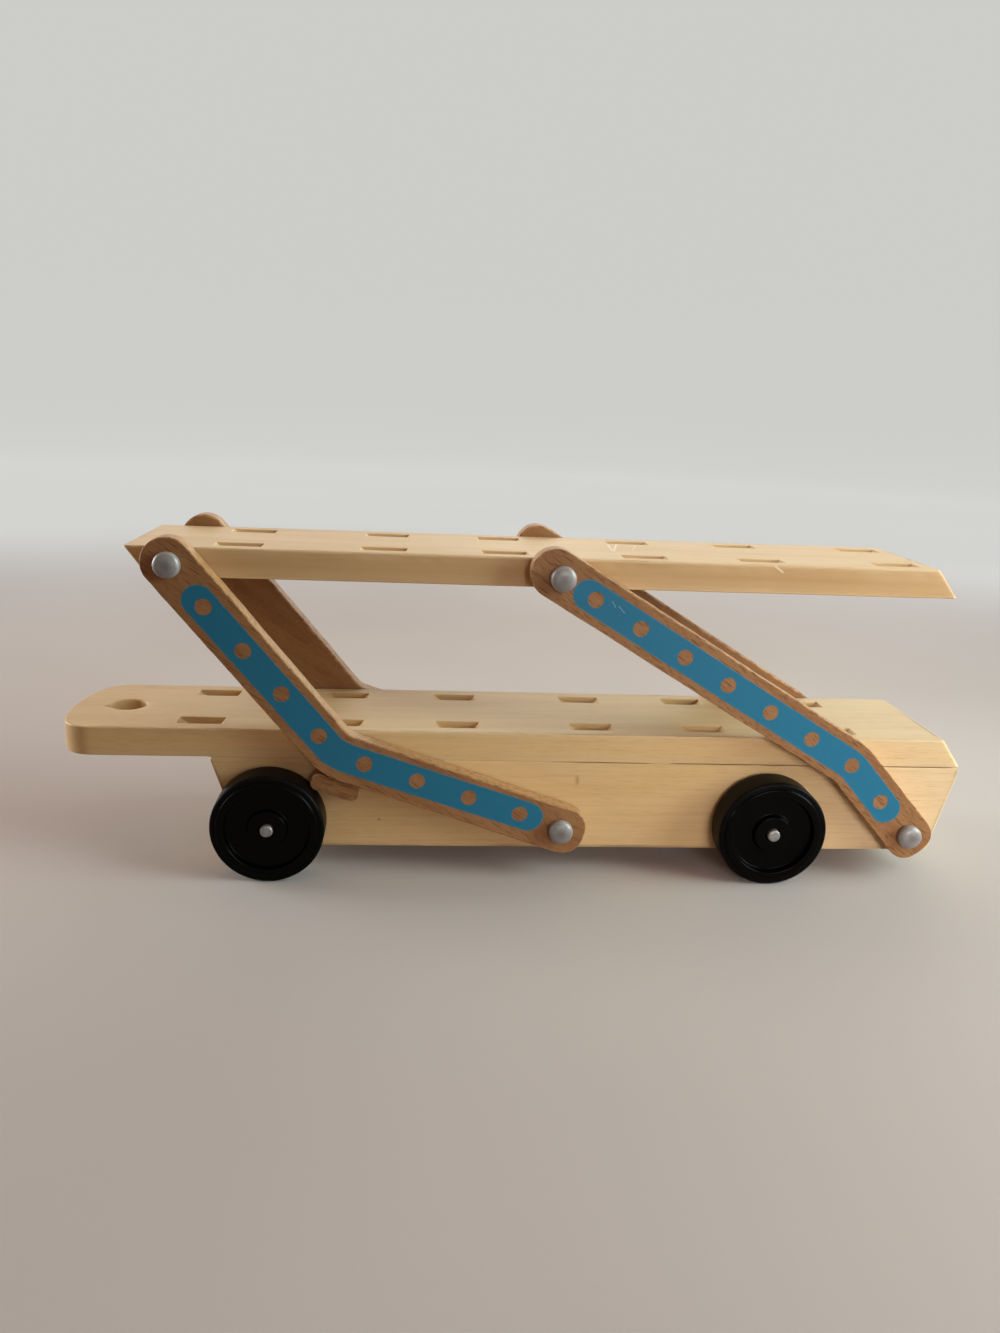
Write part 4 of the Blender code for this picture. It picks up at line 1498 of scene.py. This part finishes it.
@dataclass(frozen=True)
class StopBlocks:
    """Small beech blocks on the chassis sides, each with its top along the front arm's lower edge.

    The wear is a strength and the distance between the knots of its noise.
    """

    line: ArmLine
    arm_width: float = 0.0150
    gap: float = 0.0003
    length: float = 0.0155
    height: float = 0.0055
    before_bend: float = 0.0044
    corner_radius: float = 0.0022
    square_radius: float = 0.0010
    ease: float = 0.00035
    wear: Flat = (0.4, 0.002)
    inner_share: float = 0.4
    spacing: float = 0.0008
    seed: int = 71

    def build(self, side: Side) -> Surface:
        """Build one block as an eased plate in the lower leg's own directions.

        Args:
            side: The trailer's side that the block is on.

        Returns:
            The block's surface.
        """
        low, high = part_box(f"stop_block_{side.word}")
        heading, turn, lower, _, _ = self.line.legs()
        back = np.array([-cos(heading), -sin(heading)])
        down = np.array([back[1], -back[0]])
        leg = lower + self.line.bend_radius * tan(abs(turn) / 2)
        under = self.arm_width / 2 + self.gap
        start = np.array(self.line.low) - (leg + self.before_bend) * back + under * down
        corners = [(0.0, 0.0), (self.length, 0.0), (self.length, self.height), (0.0, self.height)]
        radii = [self.corner_radius, self.square_radius, self.corner_radius, self.corner_radius]
        outline, outward = filleted_loop(corners, radii, self.spacing)
        face, thickness = max(abs(low.y), abs(high.y)), high.y - low.y
        share, period = self.wear
        rim = self.ease * (1 + share * loop_noise(outline, period, self.seed + side.value))
        inset, depth, ease = eased_section(thickness, rim, self.inner_share * rim)
        own = outline - inset[..., None] * outward
        plan = start + own[..., :1] * back + own[..., 1:] * down
        points = np.stack([plan[..., 0], side.value * (face - depth), plan[..., 1]], axis=-1)
        surface = Surface()
        surface.add_grid(points, wrap_columns=True, ease=ease)
        for ring in (points[0], points[-1]):
            surface.add(ring, flat_fill([ring[:, ::2]]))
        return surface

    def dress(self, finish: ArmBeech) -> list[bpy.types.Object]:
        """Build both blocks and finish them in bare beech.

        Args:
            finish: The blocks' beech.

        Returns:
            The two pieces.
        """
        material = finish.material()
        return [self.build(side).piece(f"stop_block_{side.word}_beech", material, "chassis", Slot.BEECH,
                                       [f"stop_block_{side.word}"]) for side in Side]


def turned(profile: Array, centre: Flat, side: Side, start: float, segments: int) -> Array:
    """Turn a section about a cross axis of the trailer.

    A point at radius r and distance h goes to centre + r (cos a, sin a) in X-Z, and to
    side (start - h) across.

    Args:
        profile: Rows of radius and distance inwards from the start.
        centre: The axis in X-Z.
        side: The trailer's side that the start is on.
        start: The distance of the start from the trailer's middle.
        segments: The number of columns round the axis.

    Returns:
        The grid's points.
    """
    ring = circle((0.0, 0.0), 1.0, segments)
    plan = np.array(centre) + profile[:, None, :1] * ring
    across = np.broadcast_to(side.value * (start - profile[:, None, 1:]), (len(profile), segments, 1))
    return np.concatenate([plan[..., :1], across, plan[..., 1:]], axis=-1)


@dataclass(frozen=True)
class PinSet:
    """The eight headed pins on which the arms turn."""

    bodies: tuple[tuple[str, str], ...] = (("upper", "swing_deck"), ("lower", "chassis"))
    shank_diameter: float = 0.0043
    head_height: float = 0.0030
    rim: float = 0.0009
    rim_ease: float = 0.00025
    rim_chord: float = 0.3
    tip_chamfer: float = 0.0006
    dome_power: float = 2.8
    dome_steps: int = 14
    segments: int = 64

    def profile(self, head: float, length: float) -> Array:
        """Work out a pin's section from the top of its head to its tip.

        The dome follows (r / head)^p + (h / height)^p = 1 with p a little over 2, so its crown is
        flatter than a ball's.

        Args:
            head: The head's radius.
            length: The whole length.

        Returns:
            Rows of radius and distance from the crown.
        """
        angle = np.linspace(0.0, pi / 2, self.dome_steps)
        share = 2 / self.dome_power
        dome_height = self.head_height - self.rim
        dome = np.stack([head * np.sin(angle) ** share, dome_height * (1 - np.cos(angle) ** share)], axis=1)
        shank, foot, nick = self.shank_diameter / 2, self.head_height, self.rim_chord * self.rim_ease
        rest = [(head, foot - self.rim_ease), (head - nick, foot - nick),
                (head - self.rim_ease, foot), (shank, foot), (shank, length - self.tip_chamfer),
                (shank - self.tip_chamfer, length), (0.0, length)]
        return np.concatenate([dome, rest])

    def dress(self, finish: SatinPin) -> list[bpy.types.Object]:
        """Build all pins and finish them in satin metal.

        Args:
            finish: The pins' metal.

        Returns:
            The eight pieces.
        """
        material = finish.material()
        made = []
        for (level, body), end, side in product(self.bodies, ("front", "rear"), Side):
            node = f"{level}_{end}_pin_{side.word}"
            centre, head, length, start = cross_axis(node)
            section = self.profile(head, length)
            guide = np.zeros((len(section), 1, 3))
            guide[:, 0, 0] = section[:, 0] / head
            surface = Surface()
            surface.add_grid(turned(section, centre, side, start, self.segments), wrap_columns=True,
                             guide=guide)
            made.append(surface.piece(f"{node}_satin", material, body, Slot.PIN, [node]))
        return made


@dataclass(frozen=True)
class WheelSet:
    """An axle with its two recessed wheels."""

    end: str
    shoulder: float = 0.0009
    step: Flat = (0.0021, 0.0006)
    rim_inner: float = 0.0132
    recess: float = 0.0022
    hub: float = 0.0059
    hub_setback: float = 0.0004
    draft: float = 0.0005
    axle_gap: float = 0.0003
    axle_end_round: float = 0.0006
    axle_crown: float = 0.00008
    axle_segments: int = 48
    small_round: float = 0.0003
    recess_round: float = 0.0004
    step_rounds: Flat = (0.0005, 0.0001)
    spacing: float = 0.0015
    round_steps: int = 7
    segments: int = 128

    def wheel_profile(self, radius: float, width: float, bore: float) -> Array:
        """Work out a wheel's section as a closed loop with rounded corners.

        Args:
            radius: The wheel's radius.
            width: Its width.
            bore: The radius of its bore.

        Returns:
            Rows of radius and distance inwards from the outer face.
        """
        corners = [(bore, width), (bore, self.hub_setback), (self.hub, self.hub_setback),
                   (self.hub + self.draft, self.recess), (self.rim_inner - self.draft, self.recess),
                   (self.rim_inner, 0.0), (radius - self.step[0], 0.0),
                   (radius - self.step[0] + self.step[1] / 2, self.step[1]), (radius, self.step[1]),
                   (radius, width)]
        small = self.small_round
        radii = [small, small, small, self.recess_round, small, small, *self.step_rounds,
                 self.shoulder, self.shoulder]
        return filleted_loop(corners, radii, self.spacing, self.round_steps)[0]

    def axle_profile(self, radius: float, length: float) -> Array:
        """A rod's section from end to end, each end rounded over a quarter turn.

        Args:
            radius: The rod's radius.
            length: Its length.

        Returns:
            Rows of radius and distance from one end.
        """
        turn = np.linspace(0.0, pi / 2, self.round_steps)
        bulge, crown = self.axle_end_round, self.axle_crown
        near = np.stack([radius - bulge + bulge * np.sin(turn), bulge * (1 - np.cos(turn))], axis=1)
        far = np.stack([near[::-1, 0], length - near[::-1, 1]], axis=1)
        return np.concatenate([[(0.0, -crown)], near, far, [(0.0, length + crown)]])

    def dress(self, finish: AxleSteel) -> list[bpy.types.Object]:
        """Build the axle and both wheels, with the black finish centred on the axle.

        Args:
            finish: The axle's steel.

        Returns:
            The axle and then the wheels.
        """
        body = f"{self.end}_wheelset"
        node = f"{self.end}_axle"
        centre, rod, length, start = cross_axis(node)
        axle = Surface()
        section = self.axle_profile(rod, length)
        axle.add_grid(turned(section, centre, Side.RIGHT, start, self.axle_segments), wrap_columns=True)
        made = [axle.piece(f"{node}_steel", finish.material(), body, Slot.AXLE, [node])]
        black = MouldedBlack(f"{self.end}_wheel_black", centre).material()
        for side in Side:
            node = f"{self.end}_wheel_{side.word}"
            _, radius, width, start = cross_axis(node)
            section = self.wheel_profile(radius, width, rod + self.axle_gap)
            wheel = Surface()
            wheel.add_grid(turned(section, centre, side, start, self.segments), wrap_rows=True,
                           wrap_columns=True)
            made.append(wheel.piece(f"{node}_black", black, body, Slot.WHEEL, [node]))
        return made


@dataclass(frozen=True)
class Softbox:
    """A square soft lamp that the camera doesn't see, with a grid that limits its spread (in degrees)."""

    name: str
    place: Place
    aim: Place
    size: float
    power: float
    colour: Colour = (1.0, 1.0, 1.0)
    spread: float = 180.0

    def hang(self) -> bpy.types.Object:
        """Hang the lamp and turn it to its aim.

        Returns:
            The lamp.
        """
        lamp = bpy.data.lights.new(self.name, "AREA")
        lamp.shape, lamp.size, lamp.energy, lamp.color = "SQUARE", self.size, self.power, self.colour
        lamp.spread = radians(self.spread)
        made = bpy.data.objects.new(self.name, lamp)
        made.location = self.place
        made.rotation_euler = (Vector(self.aim) - Vector(self.place)).to_track_quat("-Z", "Y").to_euler()
        made.visible_camera = False
        bpy.context.scene.collection.objects.link(made)
        return made


@dataclass(frozen=True)
class Studio:
    """A pale floor that curves up into a wall all round, with soft lamps and a low even sky."""

    radius: float = 2.4
    cove: float = 0.7
    height: float = 2.2
    rings: tuple[float, ...] = (0.0, 0.1, 0.3, 0.6, 1.0)
    cove_gap: float = 0.05
    cove_steps: int = 13
    segments: int = 96
    sky: Colour = (1.0, 0.58, 0.45)
    sky_strength: float = 0.42
    lamps: tuple[Softbox, ...] = (
        Softbox("window", (0.74, -0.14, 0.42), (0.01, 0.0, 0.05), 0.50, 1.90, (0.82, 1.0, 0.95), 100.0),
        Softbox("side_window", (0.70, -0.35, 0.24), (0.10, 0.0, 0.04), 0.36, 0.45, (0.98, 1.0, 0.98), 80.0),
        Softbox("near_window", (0.20, -0.60, 0.18), (0.17, 0.0, 0.04), 0.26, 0.155, (1.0, 0.90, 0.85), 40.0),
        Softbox("left_board", (-0.84, 0.22, 0.24), (0.01, 0.0, 0.05), 0.38, 1.22, (1.0, 0.99, 0.94), 80.0),
        Softbox("back_board", (-0.12, 0.72, 0.36), (0.01, 0.0, 0.05), 0.62, 0.37, (1.0, 0.95, 0.87), 100.0),
        Softbox("right_board", (0.30, 0.72, 0.36), (0.01, 0.0, 0.05), 0.62, 0.51, (1.0, 0.95, 0.84), 100.0),
    )

    def floor(self) -> bpy.types.Object:
        """Turn the floor's section about Z: a disc, a quarter round and an upright wall.

        Returns:
            The floor, which is part of the stage.
        """
        turn = np.linspace(0.0, pi / 2, self.cove_steps)
        flat = np.array([*self.rings, self.radius - self.cove - self.cove_gap])
        radius = np.concatenate([flat, self.radius - self.cove * (1 - np.sin(turn)), [self.radius]])
        height = np.concatenate([0 * flat, self.cove * (1 - np.cos(turn)), [self.height]])
        plan = radius[:, None, None] * circle((0.0, 0.0), 1.0, self.segments)
        rise = np.broadcast_to(height[:, None, None], (*plan.shape[:2], 1))
        points = np.concatenate([plan, rise], axis=-1)
        mesh = bpy.data.meshes.new("studio_floor")
        mesh.from_pydata(points.reshape(-1, 3), [], grid_faces(*plan.shape[:2], False, True).tolist())
        mesh.shade_smooth()
        mesh.materials.append(StudioFloor().material())
        made = bpy.data.objects.new("studio_floor", mesh)
        bpy.context.scene.collection.objects.link(made)
        return made

    def light(self) -> None:
        """Hang the lamps and set the sky."""
        for lamp in self.lamps:
            lamp.hang()
        world = bpy.data.worlds.new("studio_sky")
        world.use_nodes = True
        sky = world.node_tree.nodes["Background"]
        sky.inputs["Color"].default_value = (*self.sky, 1.0)
        sky.inputs["Strength"].default_value = self.sky_strength
        bpy.context.scene.world = world


@dataclass(frozen=True)
class PhotoCamera:
    """The camera at the photograph's viewing angle, for a frame of 1000 by 1333."""

    place: Place = (-0.03379, -0.32233, 0.15059)
    yaw: float = radians(4.767)
    pitch: float = radians(15.294)
    roll: float = radians(2.533)
    focal_pixels: float = 1006.07
    frame_height: float = 1333.0
    sensor: float = 36.0
    clip: Flat = (0.01, 20.0)

    def set_up(self) -> bpy.types.Object:
        """Place the camera: it looks along +Y, yawed to the right, pitched down and rolled.

        Returns:
            The camera.
        """
        data = bpy.data.cameras.new("photo_camera")
        data.sensor_width = self.sensor
        data.lens = self.focal_pixels * self.sensor / self.frame_height
        data.clip_start, data.clip_end = self.clip
        view = Vector((sin(self.yaw) * cos(self.pitch), cos(self.yaw) * cos(self.pitch), -sin(self.pitch)))
        level = Vector((cos(self.yaw), -sin(self.yaw), 0.0))
        raised = level.cross(view)
        right = cos(self.roll) * level + sin(self.roll) * raised
        up = cos(self.roll) * raised - sin(self.roll) * level
        made = bpy.data.objects.new("photo_camera", data)
        turn = Matrix((right, up, -view)).transposed().to_4x4()
        made.matrix_world = Matrix.Translation(self.place) @ turn
        bpy.context.scene.collection.objects.link(made)
        bpy.context.scene.camera = made
        return made


PALE_SCRATCH: Colour = (0.88, 0.78, 0.58)
SOFT_STAIN: Colour = (0.50, 0.33, 0.16)
BROWN_STAIN: Colour = (0.40, 0.25, 0.12)
DARK_STAIN: Colour = (0.20, 0.11, 0.05)

UPPER_MARKS = (
    Mark((0.0285, 0.0128, 0.10264), (0.0273, -0.0034, 0.10264), 0.00042, PALE_SCRATCH),
    Mark((0.0323, 0.0149, 0.10264), (0.0277, -0.0045, 0.10264), 0.00042, PALE_SCRATCH),
    Mark((0.0376, 0.0094, 0.10264), (0.0343, -0.0020, 0.10264), 0.00030, PALE_SCRATCH, 0.5),
    Mark((0.0748, -0.0229, 0.1022), (0.0772, -0.0229, 0.1006), 0.00045, PALE_SCRATCH),
)
BLOCK_MARKS = (
    Mark((0.0176, -0.0229, 0.0322), (0.0177, -0.0229, 0.0300), 0.00110, SOFT_STAIN, 0.40),
    Mark((0.0177, -0.0229, 0.0318), (0.0178, -0.0229, 0.0303), 0.00042, BROWN_STAIN, 0.60),
    Mark((-0.0456, -0.0229, 0.0168), (-0.0455, -0.0229, 0.0169), 0.00050, DARK_STAIN, 0.7),
    Mark((0.1444, -0.0229, 0.0354), (0.1443, -0.0229, 0.0353), 0.00030, DARK_STAIN, 0.6),
)


def main() -> None:
    """Build every sub-assembly in order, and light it."""
    logging.basicConfig(level=logging.INFO, format="%(name)s: %(message)s")
    bpy.context.scene.view_settings.view_transform = "Standard"
    front_low, front_high, rear_low = pivot("deck_swing"), pivot("deck_level"), pivot("rear_arm_swing")
    rear_high = (front_high[0] + rear_low[0] - front_low[0], front_high[2] + rear_low[2] - front_low[2])
    front_line = ArmLine(front_low[::2], front_high[::2], bend=(0.0721, 0.0204))
    rear_line = ArmLine(rear_low[::2], rear_high, bend=(0.0318, -0.0076))
    grain_tilt = atan2(front_high[2] - front_low[2], front_low[0] - front_high[0])
    front_paint = StripPaint(
        front_line.length(), first_cap=0.0133, last_cap=0.1383, first_dot=0.0156, dot_pitch=0.01713,
        first_offset=-0.0003, last_offset=0.00095,
    )
    rear_paint = StripPaint(
        rear_line.length(), first_cap=0.0094, last_cap=0.1326, first_dot=0.0120, dot_pitch=0.01678,
        first_offset=-0.00005, last_offset=-0.00030,
        scratches=(((0.0165, -0.0022), (0.0183, -0.0012)), ((0.0190, -0.0020), (0.0216, -0.00125))),
    )
    plank = DeckBoard(
        "deck_plank", "chassis", first_pocket=-0.1019, front_undercut=0.0, rear_bevel=0.0066,
        front_radius=0.0097, bottom_ease=0.00020, seed=11, nose_radius=0.0550, nose_aside=-0.0030,
        hitch=HitchHole(),
    )
    plank_wood = BoardWood(
        "plank_board", heart=(0.020, -0.075), lean=(0.010, 0.014), seed=1.3, early=(0.735, 0.556, 0.300),
        side_shade_tone=(0.800, 0.555, 0.250), side_shade_share=0.40, rear_light_share=0.30,
    )
    block_wood = BoardWood(
        "block_board", heart=(-0.060, 0.075), lean=(0.012, -0.010), seed=4.1, marks=BLOCK_MARKS,
        early=(0.765, 0.560, 0.288), late=(0.665, 0.440, 0.192), rear_light_share=0.45,
    )
    upper_deck = DeckBoard(
        "upper_deck", "swing_deck", first_pocket=-0.0889, front_undercut=0.0066, rear_bevel=0.0069,
        front_radius=0.0011, bottom_ease=0.00050, seed=21,
    )
    upper_wood = BoardWood(
        "upper_board", heart=(-0.018, -0.030), lean=(-0.008, 0.012), seed=7.7, marks=UPPER_MARKS,
        side_shade_share=0.62,
    )
    front_beech = ArmBeech("front_beech", grain_tilt, seed=2.9, paint=front_paint, fleck_share=0.50)
    rear_beech = ArmBeech("rear_beech", grain_tilt, seed=5.3, paint=rear_paint)
    pieces = [
        plank.dress(plank_wood),
        *ChassisBlock().dress(block_wood),
        upper_deck.dress(upper_wood),
        *ArmPair("front_arm", front_line, seed=41).dress(front_beech),
        *ArmPair("rear_arm", rear_line, seed=61, overhangs=(0.0076, 0.0099)).dress(rear_beech),
        *StopBlocks(front_line).dress(ArmBeech("stop_beech", tilt=0.3, seed=8.8)),
        *PinSet().dress(SatinPin()),
        *WheelSet("front").dress(AxleSteel("front_axle_bright")),
        *WheelSet("rear").dress(AxleSteel("rear_axle_bright")),
    ]
    LOG.info("%d pieces", len(pieces))
    studio = Studio()
    studio.floor()
    studio.light()
    PhotoCamera().set_up()


if __name__ == "__main__":
    main()
